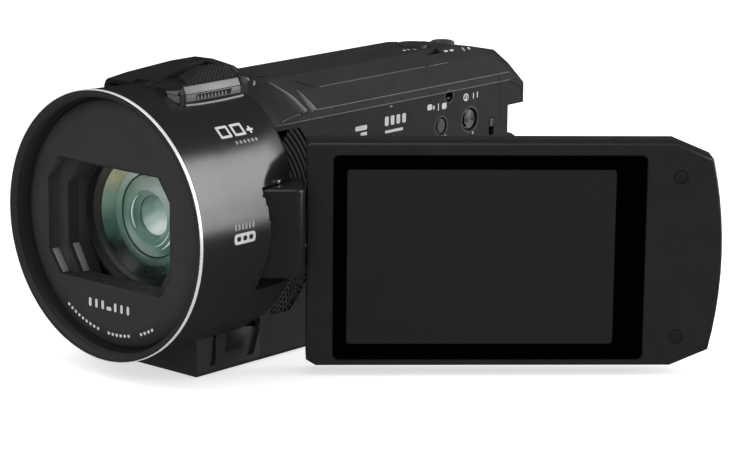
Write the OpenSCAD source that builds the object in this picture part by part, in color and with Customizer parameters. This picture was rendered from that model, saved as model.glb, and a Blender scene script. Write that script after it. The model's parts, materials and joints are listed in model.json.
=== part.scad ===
// Hand-held camcorder with a swing-out screen, as an assembly of separate pieces.
// Millimetres. +Z up, -Y is the way the lens looks, +X is the screen side.
// The origin is the mouth of the tripod socket on the base. Inside at_lens() every
// place is given from the centre of the front ring instead: y runs back along the
// lens axis and z is the height above that axis.

/* [Lens front] */
// Outer radius of the front ring
ring_r = 32.5; // [32:0.1:33]
// Wall radius of the filter thread (62 mm thread)
filter_r = 30.6; // [30:0.1:31]
// Radius of the barrel behind the ring
barrel_r = 32; // [31.8:0.1:32.4]
// Where the glossy barrel meets the front bezel
bezel_len = 10.5; // [9:0.5:12]
// Where the filter thread ends
thread_end = 2.7; // [2:0.1:2.8]
// Depth of the flat face plate behind the front plane
plate_y = 3; // [2.5:0.1:3.5]
// Half width of the stepped window
window_w = 20.9; // [19:0.1:21]
// Half height of the stepped window
window_h = 14.4; // [12:0.1:14.6]
// Radius of the front lens element
glass_r = 15.6; // [14:0.1:16]

/* [Body] */
// Height of the lens axis above the base
axis_h = 36.9; // [36.5:0.1:38]
// Distance from the front ring back to the tripod socket
socket_y = 62; // [50:1:75]
// Half width on the screen side
side_x = 16.5; // [16:0.1:16.8]
// Half width on the hand side
grip_x = 28.5; // [27:0.5:30]
// Height of the roof ridge above the lens axis
ridge_z = 31.2; // [30.6:0.1:31.6]
// Wall thickness of the casings
wall = 1.8; // [1.4:0.1:2]
// Length of the casings, up to the rear cover
case_end = 126.6; // [126:0.1:128]
// Rear face of the camcorder
rear_y = 137; // [136:0.5:139]

/* [Screen] */
// Distance of the screen hinge from the lens axis
hinge_x = 26.5; // [26:0.1:27]
// Distance of the screen hinge behind the front ring
hinge_y = 29.5; // [29:0.1:30]
// Direction in which the screen stands open, from +X towards +Y
screen_turn = 43.6; // [30:0.1:60]
// Length of the screen panel, without its bulged end
panel_len = 87; // [80:1:90]
// Extra length of the bulged end at its middle
bulge = 11.7; // [8:0.1:13]
// Height of the panel
panel_h = 54.1; // [50:0.1:56]
// Thickness of the panel
panel_t = 10.4; // [8:0.1:10.4]
// Height of the panel's middle, above the lens axis
panel_z = -7.4; // [-9:0.1:-6]
// Radius of the round part of the hinge block
knuckle_r = 7.5; // [7:0.1:7.5]
// Radius of the vertical hinge pin
pin_r = 1.5; // [1.2:0.1:1.8]

/* [Battery] */
// Top of the battery bay, above the lens axis
bay_top = 5.4; // [4:0.1:6]
// Bottom of the battery bay
bay_bottom = -31; // [-32:0.5:-30]
// Front wall of the battery bay
bay_y = 104; // [100:1:106]

/* [Controls] */
// Radius of the power button
power_r = 2.5; // [2:0.1:2.8]
// Radius of the mode button
mode_r = 1.9; // [1.5:0.1:2.2]
// Radius of the zoom knob
knob_r = 3.2; // [2.8:0.1:3.6]

/* [Hidden] */
$fn = 96;
base_z = -axis_h;
panel_x = 8.3;                       // from the hinge axis to the near edge of the panel
panel_front = -0.87;                 // front face of the panel, beside the hinge axis
panel_back = panel_front + panel_t;
shaft_y = panel_front + panel_t / 2; // swivel axis beside the hinge axis
active_x = panel_x + 41.3;           // middle of the lit part of the screen
active_z = -7.8;
knob_at = [2.3, 120.1];
photo_at = [2.1, 108.4];
photo_r = 4.1;
window_x = -0.9;
window_z = -0.4;
screw_at = [[-14, 46], [11, 46], [-14, 98], [11, 98]];
screw_r = 1.9;
strap_mid = 82;                      // middle of the hand strap
strap_bow = 150;                     // radius that the strap is bowed to
strap_out = 41;                      // how far the strap stands out
eps = 0.01;

// ---------- helpers ----------
module at_lens() { translate([0, -socket_y, axis_h]) children(); }
// frame of the screen: x along the panel, y towards its back, z up, origin on the hinge axis
module at_hinge() { at_lens() translate([hinge_x, hinge_y, 0]) rotate([0, 0, screen_turn]) children(); }
module ycyl(r, y0, y1) { translate([0, y0, 0]) rotate([-90, 0, 0]) cylinder(r = r, h = y1 - y0); }
module xcyl(r, x0, x1) { translate([x0, 0, 0]) rotate([0, 90, 0]) cylinder(r = r, h = x1 - x0); }
module zcyl(r, z0, z1) { translate([0, 0, z0]) cylinder(r = r, h = z1 - z0); }
module box(lo, hi) { translate(lo) cube(hi - lo); }
// outline of [x, z] points swept along y, and of [y, z] points swept along x
module yprism(pts, y0, y1) { translate([0, y1, 0]) rotate([90, 0, 0]) linear_extrude(y1 - y0) polygon(pts); }
module xprism(pts, x0, x1) { translate([x0, 0, 0]) rotate([90, 0, 90]) linear_extrude(x1 - x0) polygon(pts); }
// a turned piece about the lens axis from [radius, y] points
module turned(pts) { rotate([-90, 0, 0]) rotate_extrude() polygon(pts); }
// a box with its four upright edges rounded
module rounded_z(lo, hi, r) {
    for (x = [lo[0] + r, hi[0] - r]) for (y = [lo[1] + r, hi[1] - r])
        translate([x, y, lo[2]]) cylinder(r = r, h = hi[2] - lo[2], $fn = 32);
    box([lo[0] + r, lo[1], lo[2]], [hi[0] - r, hi[1], hi[2]]);
    box([lo[0], lo[1] + r, lo[2]], [hi[0], hi[1] - r, hi[2]]);
}

// ---------- outlines ----------
// cross-section of the casing; i moves the wall inwards
function casing(i) = [
    [side_x - i, base_z + 1.2 + i], [side_x - i, 20.3 - i * 0.4], [side_x - 0.5 - i, 22.4 - i * 0.6],
    [12.4 - i * 0.8, 27 - i * 0.9], [8 - i * 0.4, 29.9 - i], [-3, ridge_z - i], [-12 + i * 0.4, 28 - i],
    [-20 + i * 0.6, 23.8 - i * 0.8], [-26 + i * 0.9, 16 - i * 0.4], [-grip_x + i, 6], [-grip_x + i, -20],
    [-25 + i * 0.9, -31 + i * 0.4], [-19 + i * 0.5, base_z + i], [side_x - 1.2 - i * 0.6, base_z + i]];
// side profile that cuts the roof down towards the rear
function profile(i) = [
    [20, base_z - 1], [20, 40], [80, 40], [80, 37.1 - i],
    [111, 31.3 - i], [133, 27.2 - i], [rear_y - i, 23.4 - i * 0.6], [rear_y - i, base_z - 1]];
module casing_block(i, y0, y1) {
    intersection() {
        yprism(casing(i), y0, y1);
        xprism(profile(i), -40, 30);
        translate([1, 0, 31]) rotate([0, -19.5, 0]) translate([-1, 0, -31]) xprism(profile(i), -90, 30);
    }
}
// the slanted facet over the upper rear corner on the screen side
module rear_corner(i) {
    translate([16.3, rear_y, 19]) rotate([0, 45.8, 35]) translate([-20, -20, -i]) cube([40, 40, 30]);
}
module casing_shell(y0, y1) {
    difference() {
        casing_block(0, y0, y1);
        casing_block(wall, y0 - 1, y1 + 1);
    }
}
// the barrel with its rear edge: upright on the sides, slanting back over the top
module barrel_envelope(r, y0) {
    intersection() {
        ycyl(r, y0, 60);
        xprism([[y0 - 1, -40], [36.2, -40], [36.2, 21.2], [42.5, 26.9], [47.5, 31], [50, 32.2], [50, 40],
                [y0 - 1, 40]], -40, 40);
    }
}
function octagon(w, h, cx, cz) = [
    for (s = [[1, 1], [-1, 1], [-1, -1], [1, -1]])
        for (k = s[0] * s[1] > 0 ? [0, 1] : [1, 0])
            [cx + s[0] * (w - (k == 1 ? 3.8 : 0)), cz + s[1] * (h - (k == 0 ? 5.4 : 0))]];
// outline of the screen panel with its bulged end; i moves the edge inwards
function panel_outline(i) = concat(
    [[panel_x + i, panel_z - panel_h / 2 + 1.4 + i / 2], [panel_x + 2.3 + i / 2, panel_z - panel_h / 2 + i],
     [panel_x + panel_len, panel_z - panel_h / 2 + i]],
    [for (a = [-13:2.6:13]) [panel_x + panel_len + bulge - 103 + (103 - i) * cos(a), panel_z + (103 - i) * sin(a)]],
    [[panel_x + panel_len, panel_z + panel_h / 2 - i], [panel_x + i, panel_z + panel_h / 2 - i]]);
module hinge_room() {
    translate([hinge_x, hinge_y, 0]) {
        zcyl(9.6, -12.5, 10.4);
        translate([0, 0, 6.8]) sphere(r = 10.1);
        intersection() {
            zcyl(10.2, -12.5, 10.4);
            box([-20, -2, -20], [20, 20, 20]);
        }
    }
}

// ---------- casing ----------
module left_shell() color([0.15, 0.15, 0.155]) at_lens() {
    difference() {
        intersection() {
            casing_shell(36.2, 131);
            box([0, 0, base_z - 1], [40, 200, 26.9]);
        }
        barrel_envelope(barrel_r, 0);
        box([-1, case_end, 5.4], [30, 140, 40]);
        box([-30, bay_y, bay_bottom], [30, 140, bay_top + eps]);
        box([-18.5, 0, base_z - 1], [15, 200, base_z + 2]);
        translate([0, 114.7, 12.0]) xcyl(power_r + 0.4, 10, 20);
        translate([0, 103.1, 11.8]) xcyl(mode_r + 0.35, 10, 20);
        translate([0, 106.2, 19.2]) xcyl(1.6, 10, 20);
        box([10, 62, -26], [20, 92, -10]);
        translate([0, 27, -2]) side_vent_space();
        box([10, 122.6, 6.6], [20, 124.6, 11.2]);
    }
}
// annular window behind the vent ribs
module side_vent_space() {
    intersection() {
        difference() {
            xcyl(31, 10, 20);
            xcyl(21.5, 9, 21);
        }
        box([9, 12.5, -24], [21, 40, 21]);
    }
}
module right_shell() color([0.14, 0.14, 0.145]) at_lens() {
    difference() {
        intersection() {
            casing_shell(36.2, 131);
            box([-40, 0, base_z - 1], [0, 200, 26.9]);
        }
        barrel_envelope(barrel_r, 0);
        box([-40, case_end, bay_top], [30, 140, 40]);
        box([-18.5, 0, base_z - 1], [15, 200, base_z + 2]);
        box([-24, bay_y, bay_bottom], [30, 140, bay_top + eps]);
    }
}
module top_cover() color([0.17, 0.17, 0.175]) at_lens() {
    difference() {
        intersection() {
            casing_shell(36.2, case_end);
            box([-40, 0, 26.9], [40, 200, 40]);
        }
        barrel_envelope(barrel_r, 0);
        translate([knob_at[0], knob_at[1], 0]) zcyl(knob_r + 0.5, 20, 40);
        translate([photo_at[0], photo_at[1], 0]) zcyl(photo_r + 0.3, 20, 40);
        box([7.4, 105.6, 24], [9.4, 111.4, 40]);
    }
}
module rear_cover() color([0.15, 0.15, 0.155]) at_lens() {
    difference() {
        casing_block(0, case_end, rear_y);
        rear_corner(0);
        difference() {
            casing_block(wall, case_end - 1, rear_y - wall);
            rear_corner(wall);
            box([-40, case_end - 2, base_z], [40, rear_y, bay_top + wall]);
            box([8.5, 129.2, 0], [30, rear_y, 15]);
        }
        box([-40, 100, base_z - 1], [40, 150, bay_top]);
        box([10, 130.6, bay_top - 1], [20, 150, 13.5]);
        translate([-12, 0, 14]) ycyl(5.3, 130, 140);
    }
}
module base_plate() color([0.13, 0.13, 0.135]) at_lens() {
    difference() {
        union() {
            box([-18.5, 36.2, base_z], [15, 131, base_z + 2]);
            box([-17.9, bay_y, base_z + 2], [14, 131, bay_bottom]);
        }
        translate([0, socket_y, 0]) zcyl(5.2, base_z - 1, base_z + 5);
        for (p = screw_at)
            translate([p[0], p[1], 0]) zcyl(screw_r, base_z - 1, base_z + 5);
    }
}
// the foot below the barrel, with two slanted grooves on the screen side
module lower_front_cover() color([0.14, 0.14, 0.145]) at_lens() {
    difference() {
        intersection() {
            difference() {
                yprism(casing(0), 14.5, 36.2);
                yprism(casing(wall), 16.5, 37);
            }
            xprism([[19, base_z], [36.2, base_z], [36.2, -16], [14.5, -16], [14.5, base_z + 2.5], [15.6, base_z]], -40, 40);
        }
        ycyl(barrel_r, 0, 40);
        for (g = [[19.6, 1.7], [32.2, 2.2]])
            xprism([[g[0] - 0.6, -34.6], [g[0] + g[1] - 0.6, -34.6], [g[0] + g[1] + 1.6, -29],
                    [g[0] + g[1] + 1.2, -25], [g[0] + 1.2, -25]], side_x - 1, side_x + 1);
    }
}

// ---------- barrel and lens ----------
module barrel_cover() color([0.2, 0.2, 0.205]) at_lens() {
    difference() {
        union() {
            difference() {
                barrel_envelope(barrel_r, bezel_len);
                ycyl(barrel_r - wall, bezel_len - 1, 33);
                ycyl(22, 30, 37);
                ycyl(24.5, 36.2, 70);
            }
            intersection() {
                barrel_envelope(barrel_r, bezel_len);
                translate([hinge_x, hinge_y, 0]) {
                    zcyl(10.9, -14, 10);
                    translate([0, 0, 6.8]) sphere(r = 11.3);
                }
            }
        }
        hinge_room();
        ycyl(15.9, 0, 70);
        box([side_x, 37.4, -40], [40, 60, 20.1]);   // room for the closed screen
    }
}
module front_bezel() color([0.12, 0.12, 0.125]) at_lens() {
    turned([[filter_r, 0.3], [31.3, 0.3], [31.3, 1.5], [ring_r, 1.5], [barrel_r + 0.1, bezel_len],
            [barrel_r - wall, bezel_len], [barrel_r - wall, 7], [27, 7], [27, 5.2],
            [filter_r + 0.5, 5.2], [filter_r + 0.5, thread_end], [filter_r, thread_end]]);
}
module trim_ring() color([0.86, 0.86, 0.87]) at_lens() {
    turned([[31.3, 0.2], [31.6, 0], [32.3, 0], [ring_r, 0.25], [ring_r, 1.5], [31.3, 1.5]]);
}
module lens_face_plate() color([0.16, 0.16, 0.165]) at_lens() {
    difference() {
        union() {
            turned([[0, plate_y], [25.5, plate_y], [27.6, plate_y + 0.35], [29.3, plate_y + 1.1],
                    [30.4, plate_y + 2.2], [0, plate_y + 2.2]]);
            yprism(octagon(window_w + 1.2, window_h + 1.2, window_x, window_z), plate_y + 1, plate_y + 3.9);
            yprism(octagon(window_w - 2.4, window_h - 0.2, window_x, window_z), plate_y + 3, plate_y + 6.4);
        }
        yprism(octagon(window_w, window_h, window_x, window_z), plate_y - 1, plate_y + 3);
        yprism(octagon(window_w - 3.6, window_h - 1.3, window_x, window_z), plate_y, plate_y + 8);
    }
}
function dome(r, big, y, n) = [for (k = [0:n]) let (q = r * k / n) [q, y + big - sqrt(big * big - q * q)]];
module front_glass() color([0.45, 0.55, 0.5, 0.6]) at_lens() {
    turned(concat(dome(glass_r, 28, 10.2, 10), [[glass_r, 16.2], [0, 13.4]]));
}
module lens_tube() color([0.07, 0.07, 0.07]) at_lens() {
    turned([[glass_r, 13.2], [17.4, 11.2], [17.4, 17.4], [14.4, 17.4], [14.4, 72], [13.2, 72],
            [13.2, 17.2], [9.6, 17.2], [9.6, 16.4], [glass_r, 16.4]]);
}
module lens_cell(y0, y1, r, big) {
    turned(concat([[0, y0 + 0.6]], [for (k = [1:6]) [r * k / 6, y0 + 0.6 + pow(r * k / 6, 2) / (2 * big)]],
                  [[r, y1], [0, y1]]));
}
module zoom_group() color([0.3, 0.32, 0.34]) at_lens() {
    difference() {
        union() {
            lens_cell(24, 29, 7.5, 20);
            turned([[7.5, 24.8], [12.7, 24.8], [12.7, 29.4], [7.5, 29.4]]);
        }
        for (s = [-1, 1]) translate([0, 0, s * 11]) ycyl(0.85, 20, 35);
    }
}
module focus_group() color([0.3, 0.32, 0.34]) at_lens() {
    difference() {
        union() {
            lens_cell(54, 58, 7, 24);
            turned([[7, 54.6], [12.7, 54.6], [12.7, 58.2], [7, 58.2]]);
        }
        for (s = [-1, 1]) translate([0, 0, s * 11]) ycyl(0.85, 50, 62);
    }
}
module rear_lens() color([0.35, 0.38, 0.4]) at_lens() {
    difference() {
        lens_cell(63.8, 68, 13.2, 60);
        for (s = [-1, 1]) translate([0, 0, s * 11]) ycyl(0.8, 60, 70);
    }
}
module guide_rods() color([0.75, 0.75, 0.76]) at_lens() {
    for (s = [-1, 1]) translate([0, 0, s * 11]) ycyl(0.8, 17.2, 66.5);
}
module iris_unit() color([0.1, 0.1, 0.1]) at_lens() {
    difference() {
        turned([[5, 41], [13.2, 41], [13.2, 43.5], [5, 43.5]]);
        for (s = [-1, 1]) translate([0, 0, s * 11]) ycyl(0.8, 40, 45);
    }
}
module zoom_motor() color([0.6, 0.6, 0.62]) at_lens() {
    translate([-10, 0, -21.5]) ycyl(4.2, 44, 58);
    translate([-10, 0, -21.5]) ycyl(0.9, 58, 66);
}
module image_sensor() color([0.2, 0.25, 0.3]) at_lens() { box([-6, 72, -5], [6, 73.6, 5]); }
module sensor_board() color([0.1, 0.35, 0.2]) at_lens() { box([-12, 73.6, -13], [12, 75, 13]); }
module main_board() color([0.1, 0.35, 0.2]) at_lens() {
    box([-25, 44, -18], [-23.6, 101, 10]);
    for (p = [[52, -12], [70, -4], [84, -10]])
        box([-23.6, p[0], p[1]], [-21.8, p[0] + 10, p[1] + 10]);
}
module control_board() color([0.1, 0.35, 0.2]) at_lens() { box([9.4, 96, 7.6], [10.6, 120, 20.5]); }

// ---------- microphone ----------
function roof(i) = [[-12.2 + i, 30.6], [-11.6 + i, 31.9 - i], [-9, 33.6 - i], [-3, 36 - i], [3, 36.2 - i],
                    [9.4, 35.2 - i], [12.8 - i, 33 - i], [13.6 - i, 31.4]];
module mic_housing() color([0.13, 0.13, 0.135]) at_lens() {
    difference() {
        intersection() {
            yprism(concat([[-12.2, 28]], roof(0), [[13.6, 28]]), 12.6, 35);
            xprism([[12.6, 27], [35, 27], [35, 34.6], [33.8, 36.3], [27, 36.3], [12.6, 32.4]], -20, 20);
        }
        ycyl(barrel_r + 0.02, 0, 60);
        box([3.4, 15.5, 33.2], [11, 31.5, 40]);
        box([12.7, 14, 29.6], [20, 32.3, 32]);
        box([-10.5, 12, 32.1 - 1.2], [-6, 14.2, 32.6 - 1.2]);
        box([-3, 12, 32.2], [5, 15, 33.6]);
        for (x = [-6, 0]) translate([x, 22, 0]) zcyl(2.1, 30, 33.1);
    }
}
module mic_grille() color([0.2, 0.2, 0.2]) at_lens() {
    difference() {
        intersection() {
            yprism([[3.4, 33.2], [3.4, 36.05], [9.4, 35.1], [10.9, 34.1], [10.9, 33.2]], 15.5, 31.5);
            xprism([[15.6, 33.2], [31.5, 33.2], [31.5, 36.2], [27, 36.2]], 0, 20);
        }
        for (k = [-7:8])
            translate([8, 23.5 + k * 1.5, 36]) rotate([0, 0, 40]) translate([-12, -0.3, -1.5]) cube([24, 0.6, 1.5]);
    }
}
module mic_trim() color([0.72, 0.72, 0.74]) at_lens() {
    difference() {
        box([12.7, 14, 29.8], [13.9, 32.3, 32]);
        box([13.3, 16.4, 30.3], [15, 27.4, 31.3]);
    }
    box([13.9, 14.4, 29.6 - 0.7], [14.2, 32.8, 29.6 - 0.2]);
    box([13.6, 14.4, 29.6 - 0.4], [13.95, 32.3, 29.8]);
}
module mic_capsules() color([0.7, 0.6, 0.35]) at_lens() {
    for (x = [-6, 0]) translate([x, 22, 0]) zcyl(1.8, 32.1, 33);
}
module speaker() color([0.3, 0.3, 0.3]) at_lens() {
    translate([0, 50, -22]) difference() {
        xcyl(7, 11.8, 14.2);
        xcyl(5.4, 13.6, 15);
    }
}
// curved ribs behind the barrel on the screen side
module side_vent() color([0.1, 0.1, 0.1]) at_lens() {
    translate([0, 27, -2]) intersection() {
        union() {
            difference() {
                xcyl(30.9, side_x - wall, side_x - 1.2);
                xcyl(21.6, side_x - 3, side_x);
            }
            for (r = [22:1.5:30.4])
                difference() {
                    xcyl(r + 0.7, side_x - wall, side_x - 0.1);
                    xcyl(r, side_x - 3, side_x + 1);
                }
        }
        box([9, 12.6, -23.9], [21, 40, 20.9]);
    }
}

// ---------- screen hinge ----------
module hinge_bracket() color([0.5, 0.5, 0.52]) at_lens() translate([hinge_x, hinge_y, 0]) {
    difference() {
        union() {
            box([-8.5, -1.8, -12.4], [-7.8, 1.8, 11]);
            box([-8.5, -1.8, 10.2], [0, 1.8, 11]);
            box([-8.5, -1.8, -12.4], [0, 1.8, -11.8]);
            zcyl(2.6, 10.2, 11);
            zcyl(2.6, -12.4, -11.8);
        }
        zcyl(pin_r, -20, 20);
    }
}
module hinge_pin() color([0.8, 0.8, 0.82]) at_lens() translate([hinge_x, hinge_y, 0]) zcyl(pin_r, -12.4, 11.2);
module hinge_block() color([0.16, 0.16, 0.165]) at_hinge() {
    difference() {
        union() {
            zcyl(knuckle_r, -11.5, 9.9);
            box([0, -knuckle_r, -11.5], [5, knuckle_r, 9.9]);
            box([0, -4.5, -11.5], [8, 4.5, 9.9]);
            for (s = [-1, 1]) translate([5, s * 4.5, 0]) zcyl(3, -11.5, 9.9);
        }
        zcyl(pin_r + 0.05, -20, 20);
        translate([0, shaft_y, panel_z]) xcyl(2.2, 2.4, 20);
    }
}
module swivel_shaft() color([0.75, 0.75, 0.76]) at_hinge() {
    translate([0, shaft_y, panel_z]) xcyl(2.2, 2.4, 15);
    translate([0, shaft_y, panel_z]) xcyl(3.2, 15, 16.4);
}

// ---------- screen ----------
module lcd_front_frame() color([0.145, 0.145, 0.15]) at_hinge() {
    difference() {
        yprism(panel_outline(0), panel_front, panel_front + 4.4);
        yprism(panel_outline(1.5), panel_front + 2, panel_front + 5);
        box([active_x - 34.9, panel_front - 1, active_z - 25], [active_x + 38.9, panel_front + 0.9, active_z + 24.5]);
        box([active_x - 33, panel_front, active_z - 22.6], [active_x + 33, panel_front + 3, active_z + 22.6]);
        for (z = [-19.45, 19.45]) translate([active_x + 46.95, 0, active_z + z]) ycyl(1.65, -2, 0.2);
        translate([0, shaft_y, panel_z]) xcyl(2.25, 5, 14);
        translate([0, shaft_y, panel_z]) xcyl(3.6, 10, 17);
    }
}
module lcd_back_cover() color([0.16, 0.16, 0.165]) at_hinge() {
    difference() {
        yprism(panel_outline(0), panel_front + 4.4, panel_back);
        yprism(panel_outline(1.5), panel_front + 4, panel_back - 1.5);
        translate([0, shaft_y, panel_z]) xcyl(2.25, 5, 14);
        translate([0, shaft_y, panel_z]) xcyl(3.6, 10, 17);
    }
}
module lcd_glass() color([0.02, 0.02, 0.02]) at_hinge() {
    box([active_x - 34.9, panel_front + 0.05, active_z - 25], [active_x + 38.9, panel_front + 0.9, active_z + 24.5]);
}
module lcd_display() color([0.1, 0.1, 0.12]) at_hinge() {
    box([active_x - 32.5, panel_front + 0.95, active_z - 22.1], [active_x + 32.5, panel_front + 2.9, active_z + 22.1]);
}
module lcd_board() color([0.1, 0.35, 0.2]) at_hinge() {
    box([active_x - 28, panel_front + 5.2, active_z - 18], [active_x + 30, panel_front + 6.4, active_z + 18]);
}
module lcd_bumpers() color([0.08, 0.08, 0.08]) at_hinge() {
    for (z = [-19.45, 19.45]) translate([active_x + 46.95, 0, active_z + z]) ycyl(1.65, panel_front - 0.25, 0.2);
}

// ---------- controls ----------
module button(r, x0, x1) {
    xcyl(r, x0, x1 - 0.3);
    xcyl(r - 0.4, x1 - 0.3, x1);
}
module power_button() color([0.2, 0.2, 0.205]) at_lens() translate([0, 114.7, 12.0]) button(power_r, 12.2, side_x - 0.15);
module mode_button() color([0.16, 0.16, 0.165]) at_lens() translate([0, 103.1, 11.8]) button(mode_r, 12.2, side_x + 0.1);
module lid_sensor() color([0.05, 0.05, 0.05]) at_lens() translate([0, 106.2, 19.2]) xcyl(1.6, 12, side_x - 0.5);
module zoom_lever() color([0.15, 0.15, 0.155]) at_lens() translate([knob_at[0], knob_at[1], 0]) {
    zcyl(knob_r, 27, 30);
    zcyl(knob_r - 0.5, 30, 30.3);
    rotate([0, 0, -20]) box([0, -0.6, 29.5], [knob_r + 0.25, 0.6, 30.5]);
}
module photo_button() color([0.16, 0.16, 0.165]) at_lens() translate([photo_at[0], photo_at[1], 0]) {
    difference() {
        zcyl(photo_r, 27, 31);
        translate([0, 0, 47.4]) sphere(r = 17);
    }
}
module record_button() color([0.6, 0.12, 0.1]) at_lens() translate([-12, 0, 14]) {
    ycyl(4.9, 133, rear_y + 0.8);
}

// ---------- battery ----------
module battery() color([0.2, 0.2, 0.205]) at_lens() {
    translate([0, bay_y + 1.2, 0]) rotate([-90, 0, 0])
        rounded_z([-23.4, -bay_top + 0.5, 0], [15.6, -bay_bottom - 0.4, 31], 3);
}
module battery_cradle() color([0.1, 0.1, 0.1]) at_lens() {
    difference() {
        intersection() {
            union() {
                box([-30, bay_y - 1.4, base_z + 2.1], [14.6, bay_y - 0.1, bay_top + 1.2]);
                box([-23.9, bay_y - 0.1, bay_top + 0.1], [14.6, case_end - 0.1, bay_top + 1.2]);
            }
            yprism(casing(wall + 0.1), bay_y - 5, case_end);
        }
        box([-14, bay_y - 2, -20], [-2, bay_y + 1, -12]);
        box([10, 121, bay_top], [20, 126, bay_top + 2]);
    }
}
module battery_contacts() color([0.8, 0.65, 0.3]) at_lens() {
    box([-14, bay_y - 3, -20], [-2, bay_y - 0.2, -12]);
    for (x = [-12, -9, -6, -4]) box([x - 0.5, bay_y - 0.2, -19], [x + 0.5, bay_y + 1.1, -13]);
}
module battery_latch() color([0.22, 0.22, 0.225]) at_lens() {
    box([13.2, 122.8, 8.8], [side_x + 0.1, 124.4, 11.0]);
    box([12, 121.6, 7.6], [14.3, 125.6, 11.6]);
}

// ---------- sockets, base, card ----------
module terminal_door() color([0.15, 0.15, 0.155]) at_lens() {
    rounded_door([side_x - 1.4, 62.3, -25.7], [side_x, 91.7, -10.3]);
}
module rounded_door(lo, hi) {
    translate([lo[0], 0, 0]) rotate([90, 0, 90])
        rounded_z([lo[1], lo[2], 0], [hi[1], hi[2], hi[0] - lo[0]], 1);
}
module terminal_sockets() color([0.7, 0.7, 0.72]) at_lens() {
    difference() {
        box([8, 66, -22], [14.2, 80, -16]);
        box([9, 67, -21], [15, 79, -17]);
    }
    difference() {
        box([8, 83, -22], [14.2, 90, -16]);
        translate([0, 86.5, -19]) xcyl(1.8, 9, 15);
    }
}
module tripod_bush() color([0.75, 0.75, 0.76]) at_lens() translate([0, socket_y, 0]) {
    difference() {
        zcyl(5.2, base_z, base_z + 7);
        zcyl(2.6, base_z - 1, base_z + 5.5);
    }
}
module card_slot() color([0.7, 0.7, 0.72]) at_lens() {
    difference() {
        box([-16, 80, -34.6], [10, 101, -30.6]);
        box([-14.2, 79, -33.8], [8.2, 99, -31.4]);
    }
}
module memory_card() color([0.1, 0.15, 0.4]) at_lens() { box([-13.9, 79.5, -33.6], [7.9, 98.8, -31.6]); }
module base_screws() color([0.5, 0.5, 0.52]) at_lens() {
    for (p = screw_at)
        translate([p[0], p[1], 0]) difference() {
            zcyl(screw_r, base_z + 0.5, base_z + 2);
            box([-1.2, -0.3, base_z], [1.2, 0.3, base_z + 0.9]);
            box([-0.3, -1.2, base_z], [0.3, 1.2, base_z + 0.9]);
        }
}

// ---------- hand strap ----------
module bowed(t, off, z0, z1, half) {
    translate([strap_bow - strap_out + off, strap_mid, z0]) intersection() {
        difference() {
            cylinder(r = strap_bow, h = z1 - z0, $fn = 160);
            translate([0, 0, -1]) cylinder(r = strap_bow - t, h = z1 - z0 + 2, $fn = 160);
        }
        translate([-strap_bow - 5, -half, -1]) cube([40, 2 * half, z1 - z0 + 2]);
    }
}
module strap_band() color([0.1, 0.1, 0.1]) at_lens() bowed(1.6, 0, -18, 8, 40.2);
module strap_pad() color([0.13, 0.13, 0.13]) at_lens() bowed(3.2, 1.65, -20, 10, 27);
module strap_anchors() color([0.12, 0.12, 0.12]) at_lens() difference() {
    for (s = [-1, 1])
        translate([0, strap_mid + s * 42.2, 0]) {
            box([-37.4, -2, -19], [-34, 2, 9]);
            for (z = [-21, 9]) box([-37.4, -2, z], [-20, 2, z + 2]);
        }
    yprism(casing(0), 30, 140);
}

left_shell();
right_shell();
top_cover();
rear_cover();
base_plate();
lower_front_cover();
barrel_cover();
front_bezel();
trim_ring();
lens_face_plate();
front_glass();
lens_tube();
zoom_group();
focus_group();
rear_lens();
guide_rods();
iris_unit();
zoom_motor();
image_sensor();
sensor_board();
main_board();
control_board();
mic_housing();
mic_grille();
mic_trim();
mic_capsules();
speaker();
side_vent();
hinge_bracket();
hinge_pin();
hinge_block();
swivel_shaft();
lcd_front_frame();
lcd_back_cover();
lcd_glass();
lcd_display();
lcd_board();
lcd_bumpers();
power_button();
mode_button();
lid_sensor();
zoom_lever();
photo_button();
record_button();
battery();
battery_cradle();
battery_contacts();
battery_latch();
terminal_door();
terminal_sockets();
tripod_bush();
card_slot();
memory_card();
strap_band();
strap_pad();
strap_anchors();
base_screws();
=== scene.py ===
import json
import math

import bmesh
import bpy
from mathutils import Matrix, Vector
from mathutils.bvhtree import BVHTree


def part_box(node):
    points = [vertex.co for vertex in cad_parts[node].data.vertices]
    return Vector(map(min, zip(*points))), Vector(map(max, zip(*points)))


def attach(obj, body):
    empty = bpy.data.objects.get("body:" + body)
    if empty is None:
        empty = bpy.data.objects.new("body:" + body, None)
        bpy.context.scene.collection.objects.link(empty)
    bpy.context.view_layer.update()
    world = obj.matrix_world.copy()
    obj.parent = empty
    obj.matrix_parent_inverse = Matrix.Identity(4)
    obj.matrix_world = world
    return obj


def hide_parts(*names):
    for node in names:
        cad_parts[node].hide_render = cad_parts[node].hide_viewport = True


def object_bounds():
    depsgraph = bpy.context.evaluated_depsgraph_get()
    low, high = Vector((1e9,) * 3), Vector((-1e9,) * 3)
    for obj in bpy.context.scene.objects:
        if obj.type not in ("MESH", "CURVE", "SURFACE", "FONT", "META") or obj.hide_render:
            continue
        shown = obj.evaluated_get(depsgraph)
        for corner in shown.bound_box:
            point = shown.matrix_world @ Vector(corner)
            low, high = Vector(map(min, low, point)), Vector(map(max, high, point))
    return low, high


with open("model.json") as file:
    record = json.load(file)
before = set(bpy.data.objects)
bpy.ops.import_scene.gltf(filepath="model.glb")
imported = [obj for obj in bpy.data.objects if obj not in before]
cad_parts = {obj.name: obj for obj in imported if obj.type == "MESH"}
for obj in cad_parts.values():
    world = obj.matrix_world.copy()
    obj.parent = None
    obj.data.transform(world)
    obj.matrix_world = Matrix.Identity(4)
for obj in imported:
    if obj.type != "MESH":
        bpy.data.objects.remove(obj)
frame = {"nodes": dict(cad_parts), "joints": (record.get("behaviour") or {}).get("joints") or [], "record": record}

MM = 0.001
scene = bpy.context.scene
nodes, record = frame["nodes"], frame["record"]
cad_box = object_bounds()

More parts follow.
